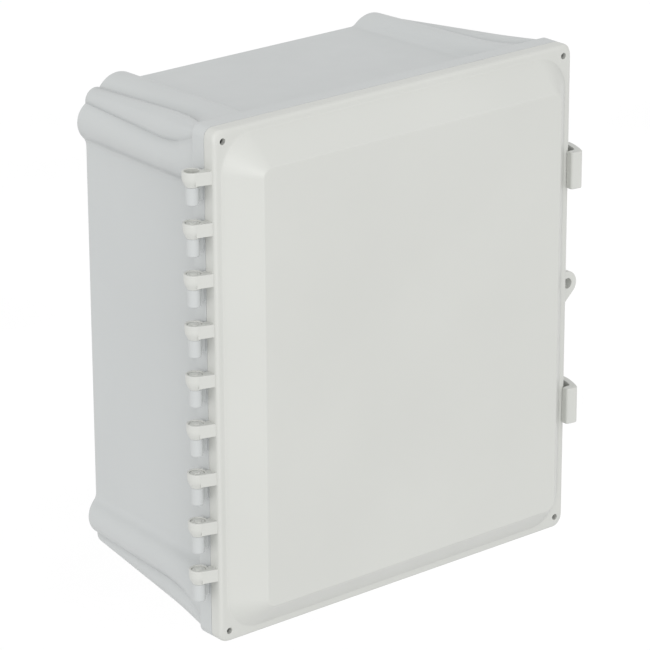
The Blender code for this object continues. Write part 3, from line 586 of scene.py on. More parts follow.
def finish_piece(made, body, slot_name, material, *nodes, smooth_angle=38.0):
    """Shading, material, the body that it rides on and the CAD nodes that it stands for."""
    made.data.materials.clear()
    made.data.materials.append(material)
    made.data.shade_smooth()
    made.data.set_sharp_from_angle(angle=math.radians(smooth_angle))
    weighted = made.modifiers.new("weighted_normals", "WEIGHTED_NORMAL")
    weighted.keep_sharp = True
    weighted.weight = 80
    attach(made, body)
    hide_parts(*nodes)
    return made


# ---- places from the frame


def joint_place(name):
    for joint in frame["record"]["behaviour"]["joints"]:
        if joint["name"] == name:
            return Vector(joint["pos_m"]) / MM
    raise ValueError(name)


def node_box(name):
    low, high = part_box(name)
    return low / MM, high / MM


def node_centre(name):
    low, high = node_box(name)
    return (low + high) / 2


def cup_depth(index):
    """The recess over the pin: the first one is deeper."""
    return FIRST_CUP_DEPTH if index == 0 else KNUCKLE_CUP_DEPTH


def hinge_top(index):
    """Height of the top of one cover knuckle, from the top of its pin."""
    _, high = node_box("hinge_pin_%d" % (index + 1))
    return high.z + cup_depth(index) - PIN_GAP - PIN_HEAD_HEIGHT - PIN_NUB_HEIGHT


HINGE = joint_place("cover_hinge")
LATCHES = {"upper": joint_place("latch_upper_pivot"), "lower": joint_place("latch_lower_pivot")}
HINGE_TOPS = [hinge_top(index) for index in range(HINGE_COUNT)]


# ---- base


def tab_outline():
    """The padlock tab: round above and at the tip, with a straight lower side that runs into the wall."""
    top_angle = math.radians(TAB_TOP_ANGLE)
    low_angle = math.radians(TAB_LOW_ANGLE)
    tip = arc((TAB_TIP_X, TAB_TIP_Z), TAB_TIP_RADIUS, top_angle, low_angle, TAB_POINTS)
    root_x = RIM_HALF_X - TAB_ROOT_DEPTH
    fall = (tip[-1][0] - root_x) / math.tan(-low_angle)
    return [(root_x, tip[0][1])] + tip + [(root_x, tip[-1][1] - fall)]


def base_rings():
    """Rear face, lobed walls that fill out towards the flange, flange, mouth, inner wall and floor."""
    rear = rear_lobed()
    lobed, filled, flange = front_outlines()
    before_fade = blend(rear, lobed, LOBE_FADE_Y / FLANGE_REAR_Y)
    mouth = matched(BODY_FRONT_HALF_X - BODY_WALL, BODY_FRONT_HALF_Z - BODY_WALL, MOUTH_RADIUS)
    inner_floor = rear_lobed(inset=BODY_WALL)
    return [
        (rear_lobed(margin=FACE_MARGIN), 0.0, 0.0),
        (rear, 0.0, REAR_EDGE_TRIM),
        (before_fade, LOBE_FADE_Y, LOBE_FADE_TRIM),
        (blend(lobed, filled, LOBE_FADE_SHARE), FLANGE_REAR_Y, 0.0),
        (flange, FLANGE_REAR_Y - SMALL_TRIM, FLANGE_TRIM),
        (flange, BASE_FRONT_Y, SMALL_TRIM),
        (mouth, BASE_FRONT_Y, SMALL_TRIM),
        (blend(inner_floor, mouth, MOUTH_SHARE), MOUTH_BLEND_Y, MOUTH_TRIM),
        (inner_floor, -FLOOR_THICKNESS, SMALL_TRIM),
        (offset(inner_floor, FLOOR_MARGIN), -FLOOR_THICKNESS, 0.0),
    ]


def base_web_outline():
    """The plan of the thin web between the flange and a base knuckle, behind the axis."""
    root_x = -RIM_HALF_X + JOIN_DEPTH
    front = HINGE.y + WEB_FRONT
    rear = HINGE.y + BASE_KNUCKLE_RADIUS - WEB_INSET
    return [(root_x, front), (root_x, rear), (HINGE.x, rear), (HINGE.x, front)]


def base_knuckle_profile():
    """A round knuckle with a rounded foot."""
    radius = BASE_KNUCKLE_RADIUS
    foot = -BASE_KNUCKLE_HEIGHT
    profile = [(radius - 2.0, foot), (radius, foot), (radius, 0.0), (radius - 1.0, 0.0)]
    return rounded_profile(profile, (0.0, BASE_KNUCKLE_ROUND, 0.15, 0.0))


def add_flange_pocket(target, sign, at_end):
    """A pocket behind the flange, between its skirt and one wall, open to the rear."""
    half_length = POCKET_HALF_X if at_end else POCKET_HALF_Z
    body_half = BODY_FRONT_HALF_Z if at_end else BODY_FRONT_HALF_X
    rim_half = RIM_HALF_Z if at_end else RIM_HALF_X
    inner = sign * (body_half + POCKET_FROM_BODY)
    outer = sign * (rim_half - FLANGE_SKIRT)
    points = [(inner, -half_length), (outer, -half_length), (outer, half_length), (inner, half_length)]
    if at_end:
        points = [(along, across) for across, along in points]
    prism(target, "Y", points, BASE_FRONT_Y + FLANGE_PLATE, FLANGE_REAR_Y + CUT_PAST)


def add_base_hinges(base):
    """The nine knuckles of the base, each with the web that carries it."""
    webs = bmesh.new()
    knuckles = bmesh.new()
    web = base_web_outline()
    for top in HINGE_TOPS:
        high = top - KNUCKLE_HEIGHT - HINGE_GAP
        foot = high - BASE_KNUCKLE_HEIGHT + BASE_KNUCKLE_ROUND
        prism(webs, "Z", web, foot, high - WEB_INSET)
        turned(knuckles, base_knuckle_profile(), (HINGE.x, HINGE.y, high), "Z")
    apply_boolean(base, "UNION", webs)
    apply_boolean(base, "UNION", knuckles)


def add_latch_lugs(base):
    lugs = bmesh.new()
    root_x = RIM_HALF_X - JOIN_DEPTH
    half = LUG_HEIGHT / 2
    for pivot in LATCHES.values():
        lug = arc((pivot.x, pivot.y), LUG_RADIUS, -math.pi / 2, math.pi / 2, ROUND_SIDES // 2)
        points = [(root_x, pivot.y - LUG_RADIUS)] + lug + [(root_x, pivot.y + LUG_RADIUS)]
        prism(lugs, "Z", points, pivot.z - half, pivot.z + half, LUG_ROUND, LUG_ROUND, root_x)
    apply_boolean(base, "UNION", lugs)


def add_base_tab(base):
    """The padlock tab of the base, a hair behind the seam face."""
    eye = bmesh.new()
    tab = tab_outline()
    front = BASE_FRONT_Y + TAB_SEAM_STEP
    prism(eye, "Y", tab, front, TAB_BASE_REAR_Y, TAB_SEAM_ROUND, TAB_ROUND, tab[0][0])
    apply_boolean(base, "UNION", eye)


def add_bosses(base):
    """Bosses round the mounting inserts and the four posts of the panel."""
    bosses = bmesh.new()
    for number in range(1, 5):
        centre = node_centre("mount_insert_%d" % number)
        centre.y = 0.0
        cylinder(bosses, centre, "Y", MOUNT_BOSS_RADIUS, MOUNT_BOSS_FRONT_Y, -JOIN_DEPTH)
        centre = node_centre("panel_insert_%d" % number)
        centre.y = 0.0
        cylinder(bosses, centre, "Y", POST_RADIUS, POST_FRONT_Y, -JOIN_DEPTH)
    apply_boolean(base, "UNION", bosses)


def cut_insert_bore(cut, node, before, beyond):
    """The bore round one insert, longer than it by the first amount in front and the second behind."""
    low, high = node_box(node)
    centre = (low + high) / 2
    radius = (high.x - low.x) / 2 + INSERT_GAP
    cylinder(cut, (centre.x, 0.0, centre.z), "Y", radius, low.y - before, high.y + beyond)


def cut_tab_hole(cut, front, rear):
    hole = (TAB_HOLE_X, 0.0, TAB_HOLE_Z)
    cylinder(cut, hole, "Y", TAB_HOLE_RADIUS, front - CUT_PAST, rear + CUT_PAST)


def make_base(material):
    shell = bmesh.new()
    loft(shell, softened(base_rings()))
    base = make_object("base_moulding", shell)
    add_base_hinges(base)
    add_latch_lugs(base)
    add_base_tab(base)
    add_bosses(base)

    cut = bmesh.new()
    for top in HINGE_TOPS:
        high = top - KNUCKLE_HEIGHT - HINGE_GAP
        cylinder(cut, (HINGE.x, HINGE.y, high), "Z", KNUCKLE_BORE, -BASE_BORE_DEPTH, CUT_PAST)
    for pivot in LATCHES.values():
        reach = LUG_HEIGHT / 2 + CUT_PAST
        cylinder(cut, pivot, "Z", LATCH_BORE, -reach, reach)
    cut_tab_hole(cut, BASE_FRONT_Y, TAB_BASE_REAR_Y)
    for number in range(1, 5):
        for kind, (before, beyond) in INSERT_BORE_ENDS.items():
            cut_insert_bore(cut, "%s_insert_%d" % (kind, number), before, beyond)
    for sign in (1, -1):
        add_flange_pocket(cut, sign, False)
        add_flange_pocket(cut, sign, True)
    apply_boolean(base, "DIFFERENCE", cut)
    return finish_piece(base, "enclosure_body", "base_plastic", material, "base")


# ---- cover


def gasket_line(ring_offset):
    """The centre line of the gasket channel, made larger by the offset."""
    return plain(
        GASKET_HALF_X + ring_offset, GASKET_HALF_Z + ring_offset, GASKET_RADIUS + ring_offset
    )


def cover_rings():
    """Front face, slope, rim, skirt, screw land, both ribs of the gasket channel and the inner faces."""
    foot = plain(RIM_HALF_X - SLOPE_FOOT_INSET, RIM_HALF_Z - SLOPE_FOOT_INSET, SLOPE_FOOT_RADIUS)
    plateau = plain(PLATEAU_HALF_X, PLATEAU_HALF_Z, PLATEAU_RADIUS)
    rim = plain(RIM_HALF_X, RIM_HALF_Z, RIM_RADIUS)
    skirt = plain(RIM_HALF_X - SKIRT_WALL, RIM_HALF_Z - SKIRT_WALL, RIM_RADIUS - SKIRT_WALL)
    land_y = COVER_RIM_Y + COVER_WALL
    core = plain(PLATEAU_HALF_X - FACE_MARGIN, PLATEAU_HALF_Z - FACE_MARGIN, PLATEAU_RADIUS)
    rings = [
        (core, COVER_FRONT_Y, 0.0),
        (plateau, COVER_FRONT_Y, PLATEAU_TRIM),
        (foot, COVER_RIM_Y, SLOPE_FOOT_TRIM),
        (rim, COVER_RIM_Y, RIM_EDGE_TRIM),
        (rim, COVER_REAR_Y, SMALL_TRIM),
        (skirt, COVER_REAR_Y, SMALL_TRIM),
        (skirt, land_y, SMALL_TRIM),
    ]
    half = CHANNEL_WIDTH / 2
    for ring_offset, y, trim in (
        (half + CHANNEL_RIB, land_y, CHANNEL_TRIM),
        (half + CHANNEL_RIB, CHANNEL_RIB_Y, CHANNEL_TRIM),
        (half, CHANNEL_RIB_Y, CHANNEL_TRIM),
        (half, CHANNEL_FLOOR_Y, 0.0),
        (-half, CHANNEL_FLOOR_Y, 0.0),
        (-half, CHANNEL_RIB_Y, CHANNEL_TRIM),
        (-half - CHANNEL_RIB, CHANNEL_RIB_Y, CHANNEL_TRIM),
    ):
        rings.append((gasket_line(ring_offset), y, trim))
    inner_x = GASKET_HALF_X - half - CHANNEL_RIB
    foot_x = RIM_HALF_X - SLOPE_FOOT_INSET
    slope_share = (foot_x - inner_x) / (foot_x - PLATEAU_HALF_X)
    inner_y = COVER_RIM_Y + slope_share * (COVER_FRONT_Y - COVER_RIM_Y) + INNER_SLOPE_DROP
    rings.append((rings[-1][0], inner_y, SMALL_TRIM))
    inset = CEILING_INSET
    ceiling = plain(PLATEAU_HALF_X - inset, PLATEAU_HALF_Z - inset, PLATEAU_RADIUS - inset)
    rings.append((ceiling, COVER_FRONT_Y + COVER_WALL, CEILING_TRIM))
    rings.append((core, COVER_FRONT_Y + COVER_WALL, 0.0))
    return rings


def knuckle_arm_outline():
    """The plan of one arm, from the skirt to the knuckle: tangent in front, level with the seam behind."""
    start = Vector((-RIM_HALF_X + ARM_ROOT_DEPTH, COVER_RIM_Y + ARM_FROM_RIM))
    centre = HINGE.xy
    gap = centre - start
    radius = KNUCKLE_RADIUS - ARM_INSET
    swing = math.asin(radius / gap.length)
    direction = math.atan2(gap.y, gap.x) + swing
    reach = math.sqrt(gap.length**2 - radius**2)
    touch = start + reach * Vector((math.cos(direction), math.sin(direction)))
    side_y = COVER_REAR_Y - HINGE.y
    side_x = HINGE.x + math.sqrt(radius**2 - side_y**2)
    return [
        (start.x, start.y),
        (touch.x, touch.y),
        (HINGE.x, HINGE.y),
        (side_x, COVER_REAR_Y),
        (start.x, COVER_REAR_Y),
    ]


def cover_knuckle_profile():
    """A round knuckle that tapers to the size of the base knuckle at its foot."""
    low = -KNUCKLE_HEIGHT - KNUCKLE_FOOT_DROP
    shoulder = low + KNUCKLE_TAPER_HEIGHT
    profile = [
        (BASE_KNUCKLE_RADIUS + 0.05, low),
        (KNUCKLE_RADIUS, shoulder),
        (KNUCKLE_RADIUS, 0.0),
        (KNUCKLE_CUP_RADIUS, 0.0),
    ]
    return rounded_profile(profile, (0.0, 2.2, 0.7, 0.0))


def cup_and_bore_profile(index):
    """The bore of a cover knuckle with the recess over its pin, flared at the top."""
    depth = cup_depth(index)
    return [
        (KNUCKLE_BORE, -KNUCKLE_HEIGHT - CUT_PAST),
        (KNUCKLE_BORE, -depth),
        (KNUCKLE_CUP_RADIUS - 0.3, -depth),
        (KNUCKLE_CUP_RADIUS, -0.3),
        (KNUCKLE_CUP_RADIUS + KNUCKLE_CUP_FLARE, 0.1),
        (KNUCKLE_CUP_RADIUS + KNUCKLE_CUP_FLARE, CUT_PAST),
    ]


def make_cover(material):
    shell = bmesh.new()
    loft(shell, softened(cover_rings()))
    cover = make_object("cover_moulding", shell)

    arms = bmesh.new()
    arm = knuckle_arm_outline()
    for top in HINGE_TOPS:
        foot = top - KNUCKLE_ARM_HEIGHT
        prism(arms, "Z", arm, foot, top - ARM_INSET, ARM_ROUND, ARM_ROUND, arm[0][0])
    tab = tab_outline()
    prism(arms, "Y", tab, TAB_COVER_FRONT_Y, COVER_REAR_Y, TAB_ROUND, TAB_SEAM_ROUND, tab[0][0])
    apply_boolean(cover, "UNION", arms)

    knuckles = bmesh.new()
    for top in HINGE_TOPS:
        turned(knuckles, cover_knuckle_profile(), (HINGE.x, HINGE.y, top), "Z")
    apply_boolean(cover, "UNION", knuckles)

    cut = bmesh.new()
    for index, top in enumerate(HINGE_TOPS):
        turned(cut, cup_and_bore_profile(index), (HINGE.x, HINGE.y, top), "Z")
    screw_hole = [
        (COVER_HOLE_RADIUS + COVER_HOLE_FLARE, COVER_RIM_Y - CUT_PAST),
        (COVER_HOLE_RADIUS, COVER_RIM_Y + 0.3),
        (COVER_HOLE_RADIUS, COVER_REAR_Y + CUT_PAST),
    ]
    for number in range(1, 5):
        centre = node_centre("cover_insert_%d" % number)
        turned(cut, screw_hole, (centre.x, 0.0, centre.z), "Y")
    cut_tab_hole(cut, TAB_COVER_FRONT_Y, COVER_REAR_Y)
    apply_boolean(cover, "DIFFERENCE", cut)
    return finish_piece(cover, "cover_body", "cover_plastic", material, "cover")


def make_gasket(material):
    """A strip with a rounded bead, lying in the channel of the cover."""
    half = GASKET_WIDTH / 2
    rings = []
    for ring_offset, y, trim in (
        (half, GASKET_FRONT_Y, 0.4),
        (half, GASKET_REAR_Y - BEAD_ROUND, 0.0),
        (half - BEAD_ROUND, GASKET_REAR_Y, 0.6),
        (-half + BEAD_ROUND, GASKET_REAR_Y, 0.6),
        (-half, GASKET_REAR_Y - BEAD_ROUND, 0.0),
        (-half, GASKET_FRONT_Y, 0.4),
    ):
        rings.append((gasket_line(ring_offset), y, trim))
    built = bmesh.new()
    rows = [[(x, y, z) for x, z in points] for points, y in softened(rings)]
    add_rows(built, rows, closed_loop=True)
    strip = make_object("gasket_strip", built)
    return finish_piece(strip, "cover_body", "gasket_rubber", material, "cover_gasket")


# ---- hinge pins and latches


def make_hinge_pin(index, material):
    """A headed pin with a small nub on its head."""
    node = "hinge_pin_%d" % (index + 1)
    low, high = node_box(node)
    centre = (low + high) / 2
    head = (high.x - low.x) / 2
    length = high.z - low.z
    head_top = length - PIN_NUB_HEIGHT
    seat = head_top - PIN_HEAD_HEIGHT
    profile = [
        (PIN_SHANK - PIN_POINT, 0.0),
        (PIN_SHANK, PIN_POINT),
        (PIN_SHANK, seat),
        (head, seat),
        (head, head_top),
        (PIN_NUB, head_top),
        (PIN_NUB - 0.2, length),
        (0.6, length),
    ]
    trims = (0.0, 0.3, 0.0, 0.2, 0.3, 0.0, 0.2, 0.0)
    built = bmesh.new()
    turned(built, rounded_profile(profile, trims), (centre.x, centre.y, low.z), "Z")
    pin = make_object("pivot_pin_%d" % (index + 1), built)
    return finish_piece(pin, "enclosure_body", "hinge_pin_plastic", material, node)


def latch_outline(pivot):
    """The plan of a latch: a lip in front of the cover rim, an arched side wall and the pivot barrel."""
    lip_rear = COVER_RIM_Y - LATCH_LIP_GAP
    front = smooth_path(
        [
            (LATCH_LIP_X, lip_rear - 4.0),
            (161.6, lip_rear - 5.1),
            (163.2, lip_rear - 5.9),
            (168.2, lip_rear - 6.7),
            (170.0, lip_rear - 6.3),
            (171.2, lip_rear - 5.0),
            (173.2, lip_rear - 0.9),
            (175.4, lip_rear + 5.0),
            (177.2, lip_rear + 11.6),
            (177.62, pivot.y - 2.2),
        ],
        LATCH_PATH_STEPS,
    )
    barrel = arc((pivot.x, pivot.y), LATCH_BARREL, -0.35, 1.1 * math.pi, ROUND_SIDES)
    inside = smooth_path(
        [
            (167.4, pivot.y - 4.8),
            (171.4, pivot.y - LATCH_BARREL - 0.2),
            (171.9, pivot.y - LATCH_BARREL - 2.6),
            (170.4, lip_rear + 4.6),
            (168.9, lip_rear + 1.2),
            (167.6, lip_rear),
        ],
        LATCH_PATH_STEPS,
    )
    return [(LATCH_LIP_X, lip_rear), *front[:-1], *barrel, *inside]


def lug_window_outline(pivot):
    """The space round the lug of the base, open to the rear."""
    radius = LUG_RADIUS + LUG_CLEARANCE
    ring = arc((pivot.x, pivot.y), radius, -math.pi / 2, 0.06 * math.pi, ROUND_SIDES // 2)
    reach = LATCH_BARREL * 2
    points = ring + [(pivot.x + reach, pivot.y + 1.0), (pivot.x + reach, pivot.y + reach)]
    return points + [(pivot.x - reach, pivot.y + reach), (pivot.x - reach, pivot.y - radius)]


def make_latch(end, material):
    node = "latch_" + end
    pivot = LATCHES[end]
    low, high = node_box(node)
    built = bmesh.new()
    prism(built, "Z", latch_outline(pivot), low.z, high.z, LATCH_ROUND, LATCH_ROUND)
    latch = make_object(end + "_latch", built)

    cut = bmesh.new()
    window = LUG_HEIGHT / 2 + LUG_WINDOW_GAP
    prism(cut, "Z", lug_window_outline(pivot), pivot.z - window, pivot.z + window)
    apply_boolean(latch, "DIFFERENCE", cut)

    cut = bmesh.new()
    half = (high.z - low.z) / 2
    floor = half - LATCH_PIN_HEAD_HEIGHT - PIN_GAP
    profile = [
        (LATCH_BORE, -half - CUT_PAST),
        (LATCH_BORE, floor),
        (LATCH_PIN_HEAD + PIN_GAP, floor),
        (LATCH_PIN_HEAD + PIN_GAP, half + CUT_PAST),
    ]
    turned(cut, profile, pivot, "Z")
    apply_boolean(latch, "DIFFERENCE", cut)
    return finish_piece(latch, end + "_latch_body", "latch_plastic", material, node)


def make_latch_pin(end, material):
    """The pin that a latch turns on, with a flat head at the top."""
    node = "latch_pin_" + end
    low, high = node_box(node)
    centre = (low + high) / 2
    head = (high.x - low.x) / 2
    length = high.z - low.z
    profile = [
        (LATCH_PIN_SHANK - 0.5, 0.0),
        (LATCH_PIN_SHANK, 0.6),
        (LATCH_PIN_SHANK, length - LATCH_PIN_HEAD_HEIGHT),
        (head, length - LATCH_PIN_HEAD_HEIGHT),
        (head, length),
        (0.8, length),
    ]
    trims = (0.0, 0.2, 0.0, 0.1, 0.35, 0.0)
    built = bmesh.new()
    turned(built, rounded_profile(profile, trims), (centre.x, centre.y, low.z), "Z")
    pin = make_object(end + "_latch_rivet", built)
    return finish_piece(pin, "enclosure_body", "latch_pin_steel", material, node)


# ---- inserts, panel and screws


def make_insert(node, bore, material):
    """A knurled insert with a groove round its middle and a threaded bore."""
    low, high = node_box(node)
    centre = (low + high) / 2
    radius = (high.x - low.x) / 2
    length = high.y - low.y
    inner = thread_profile(bore, length - 0.5, 0.5, THREAD_DEPTH)
    profile = [
        (bore + INSERT_CHAMFER, 0.0),
        (radius - INSERT_CHAMFER, 0.0),
        (radius, INSERT_CHAMFER),
        (radius, length * 0.42),
        (radius - INSERT_GROOVE, length * 0.46),
        (radius - INSERT_GROOVE, length * 0.54),
        (radius, length * 0.58),
        (radius, length - INSERT_CHAMFER),
        (radius - INSERT_CHAMFER, length),
        (bore + INSERT_CHAMFER, length),
        *inner,
        (bore + INSERT_CHAMFER, 0.0),
    ]
    built = bmesh.new()
    turned(built, profile, (centre.x, low.y, centre.z), "Y", ROUND_SIDES, ripple=KNURL_DEPTH)
    insert = make_object("brass_" + node, built)
    return finish_piece(insert, "enclosure_body", "insert_brass", material, node)


def make_panel(material):
    """The flat equipment plate with its four screw holes."""
    low, high = node_box("back_panel")
    half_x = (high.x - low.x) / 2
    half_z = (high.z - low.z) / 2
    edge = plain(half_x, half_z, PANEL_RADIUS)
    core = plain(half_x - FACE_MARGIN * 2, half_z - FACE_MARGIN * 2, PANEL_RADIUS)
    rings = [
        (core, low.y, 0.0),
        (edge, low.y, PANEL_TRIM),
        (edge, high.y, PANEL_TRIM),
        (core, high.y, 0.0),
    ]
    built = bmesh.new()
    loft(built, softened(rings))
    panel = make_object("panel_plate", built)
    cut = bmesh.new()
    for number in range(1, 5):
        centre = node_centre("panel_screw_%d" % number)
        centre.y = 0.0
        cylinder(cut, centre, "Y", PANEL_HOLE_RADIUS, low.y - CUT_PAST, high.y + CUT_PAST)
    apply_boolean(panel, "DIFFERENCE", cut)
    return finish_piece(panel, "enclosure_body", "panel_paint", material, "back_panel")


def make_panel_screw(number, material):
    """A slotted pan-head screw with a threaded shank."""
    node = "panel_screw_%d" % number
    low, high = node_box(node)
    centre = (low + high) / 2
    head = (high.x - low.x) / 2
    seat = low.y + SCREW_HEAD_HEIGHT
    thread = thread_profile(SCREW_SHANK, seat + 0.6, high.y - 0.8, -THREAD_DEPTH)
    profile = [
        (0.5, low.y),
        (head - 0.2, low.y + 0.1),
        (head, seat),
        (SCREW_SHANK, seat),
        *thread,
        (SCREW_SHANK - 0.5, high.y),
        (0.3, high.y),
    ]
    trims = [0.0] * len(profile)
    trims[1] = 1.2
    trims[2] = 0.15
    built = bmesh.new()
    turned(built, rounded_profile(profile, trims), (centre.x, 0.0, centre.z), "Y")
    screw = make_object("pan_screw_%d" % number, built)
    cut = bmesh.new()
    half = SCREW_SLOT / 2
    reach = head + CUT_PAST
    points = [
        (centre.x - reach, centre.z - half),
        (centre.x - reach, centre.z + half),
        (centre.x + reach, centre.z + half),
        (centre.x + reach, centre.z - half),
    ]
    prism(cut, "Y", points, low.y - CUT_PAST, low.y + SCREW_SLOT_DEPTH)
    apply_boolean(screw, "DIFFERENCE", cut)
    return finish_piece(screw, "enclosure_body", "screw_steel", material, node)


# ---- materials


class Graph:
    """A small helper that adds and links shader nodes of one material."""

    def __init__(self, name):
        self.material = bpy.data.materials.new(name)
        self.material.use_nodes = True
        self.tree = self.material.node_tree
        self.shader = self.tree.nodes["Principled BSDF"]
        self.place = self.add("ShaderNodeTexCoord").outputs["Object"]

    def add(self, kind, **settings):
        node = self.tree.nodes.new(kind)
        for key, value in settings.items():
            setattr(node, key, value)
        return node

    def link(self, source, target):
        self.tree.links.new(source, target)

    def noise(self, scale, detail, roughness=0.5, stretch=None):
        node = self.add("ShaderNodeTexNoise")
        node.inputs["Scale"].default_value = scale
        node.inputs["Detail"].default_value = detail
        node.inputs["Roughness"].default_value = roughness
        place = self.place
        if stretch is not None:
            mapping = self.add("ShaderNodeMapping")
            mapping.inputs["Scale"].default_value = stretch
            self.link(place, mapping.inputs["Vector"])
            place = mapping.outputs["Vector"]
        self.link(place, node.inputs["Vector"])
        return node.outputs["Fac"]

    def ramp(self, source, low, high, low_colour, high_colour):
        node = self.add("ShaderNodeValToRGB")
        node.color_ramp.elements[0].position = low
        node.color_ramp.elements[0].color = (*low_colour, 1.0)
        node.color_ramp.elements[1].position = high
        node.color_ramp.elements[1].color = (*high_colour, 1.0)
        self.link(source, node.inputs["Fac"])
        return node.outputs["Color"]

    def range(self, source, low, high):
        """Spreads the middle of a noise over the values from low to high."""
        node = self.add("ShaderNodeMapRange")
        node.inputs["From Min"].default_value = 0.3
        node.inputs["From Max"].default_value = 0.7
        node.inputs["To Min"].default_value = low
        node.inputs["To Max"].default_value = high
        self.link(source, node.inputs["Value"])
        return node.outputs["Result"]

    def bump(self, source, strength, distance, normal=None):
        node = self.add("ShaderNodeBump")
        node.inputs["Strength"].default_value = strength
        node.inputs["Distance"].default_value = distance
        self.link(source, node.inputs["Height"])
        if normal is not None:
            self.link(normal, node.inputs["Normal"])
        return node.outputs["Normal"]


def shade(colour, factor):
    return tuple(channel * factor for channel in colour)


def moulded_plastic(name, colour, roughness):
    """Satin moulded plastic: a faint cloudiness, a fine grain and slow waves in the surface."""
    graph = Graph(name)
    cloud = graph.noise(9.0, 3.0)
    tint = graph.ramp(cloud, 0.3, 0.7, shade(colour, 0.985), shade(colour, 1.015))
    graph.link(tint, graph.shader.inputs["Base Color"])
    patches = graph.noise(55.0, 4.0)
    gloss = graph.range(patches, roughness - 0.03, roughness + 0.03)
    graph.link(gloss, graph.shader.inputs["Roughness"])
    waves = graph.bump(graph.noise(18.0, 1.0), 0.04, 0.001)
    grain = graph.bump(graph.noise(1400.0, 3.0, 0.6), 0.06, 0.0001, waves)
    graph.link(grain, graph.shader.inputs["Normal"])
    graph.shader.inputs["IOR"].default_value = 1.5
    return graph.material


def gasket_rubber():
    """Matt black sponge rubber with small open cells, their pits painted darker as shade."""
    graph = Graph("gasket_rubber")
    cells = graph.add("ShaderNodeTexVoronoi")
    cells.inputs["Scale"].default_value = 1800.0
    graph.link(graph.place, cells.inputs["Vector"])
    # Painted shade: the rubber is darker at the cell centres, where the bump sinks the pits.
    pit_shade_colour = (0.018, 0.018, 0.018)
    light = (0.045, 0.045, 0.045)
    tint = graph.ramp(cells.outputs["Distance"], 0.1, 0.6, pit_shade_colour, light)
    graph.link(tint, graph.shader.inputs["Base Color"])
    gloss = graph.range(graph.noise(300.0, 3.0), 0.72, 0.88)
    graph.link(gloss, graph.shader.inputs["Roughness"])
    pits = graph.bump(cells.outputs["Distance"], 0.5, 0.0003)
    graph.link(pits, graph.shader.inputs["Normal"])
    return graph.material


def turned_metal(name, colour, roughness, stretch):
    """Bright turned metal: fine tool marks round the axis and a little tarnish."""
    graph = Graph(name)
    graph.shader.inputs["Metallic"].default_value = 1.0
    tint = graph.ramp(graph.noise(160.0, 4.0), 0.35, 0.65, shade(colour, 0.86), colour)
    graph.link(tint, graph.shader.inputs["Base Color"])
    marks = graph.noise(90.0, 3.0, 0.6, stretch)
    gloss = graph.range(marks, roughness - 0.06, roughness + 0.08)
    graph.link(gloss, graph.shader.inputs["Roughness"])
    grooves = graph.bump(marks, 0.15, 0.0001)
    graph.link(grooves, graph.shader.inputs["Normal"])
    return graph.material


def panel_paint():
    """Satin powder coat with a slight orange peel."""
    graph = Graph("panel_paint")
    tint = graph.ramp(graph.noise(14.0, 3.0), 0.3, 0.7, (0.78, 0.78, 0.755), (0.82, 0.82, 0.80))
    graph.link(tint, graph.shader.inputs["Base Color"])
    gloss = graph.range(graph.noise(80.0, 3.0), 0.36, 0.46)
    graph.link(gloss, graph.shader.inputs["Roughness"])
    peel = graph.bump(graph.noise(420.0, 2.0), 0.22, 0.0002)
    graph.link(peel, graph.shader.inputs["Normal"])
    return graph.material


# ---- studio


CAMERA_PLACE = Vector((-1.60881, -2.05846, 0.95220))
CAMERA_HEADING = 0.68532
CAMERA_PITCH = 0.36194
CAMERA_ROLL = -0.00419
CAMERA_LENS = 205.4
CAMERA_DISTANCE = 2.6047
AIM_RIGHT = -0.00069
AIM_UP = -0.00156

AMBIENT = 1.0
AMBIENT_TILT = (-0.16, -0.11, 0.01)
AMBIENT_BELOW = 0.42
KEY_STRENGTH = 0.9
KEY_DIRECTION = (-0.50, -0.85, 0.15)
KEY_WIDTH = 40.0
FLOOR_Z = -1.2
FLOOR_SIZE = 30000.0

# The base is moulded from the cover plastic; its colour is made darker and cooler as painted shade and
# painted cool light on the base walls.
BASE_SHADED_COLOUR = (0.506, 0.523, 0.522)
COVER_COLOUR = (0.560, 0.567, 0.540)


def make_camera():
    along = Vector((math.sin(CAMERA_HEADING), math.cos(CAMERA_HEADING), 0.0))
    forward = along * math.cos(CAMERA_PITCH) + Vector((0.0, 0.0, -math.sin(CAMERA_PITCH)))
    level_right = Vector((along.y, -along.x, 0.0))
    level_up = level_right.cross(forward)
    right = level_right * math.cos(CAMERA_ROLL) + level_up * math.sin(CAMERA_ROLL)
    up = level_up * math.cos(CAMERA_ROLL) - level_right * math.sin(CAMERA_ROLL)
    aim = CAMERA_PLACE + forward * CAMERA_DISTANCE + right * AIM_RIGHT + up * AIM_UP
    ahead = (aim - CAMERA_PLACE).normalized()
    side = ahead.cross(up).normalized()
    above = side.cross(ahead)
    data = bpy.data.cameras.new("camera")
    data.lens = CAMERA_LENS
    data.sensor_width = 36.0
    data.clip_start = 0.05
    data.clip_end = 60.0
    camera = bpy.data.objects.new("camera", data)
    turn = Matrix((side, above, -ahead)).transposed()
    camera.matrix_world = Matrix.Translation(CAMERA_PLACE) @ turn.to_4x4()
    bpy.context.scene.collection.objects.link(camera)
    bpy.context.scene.camera = camera


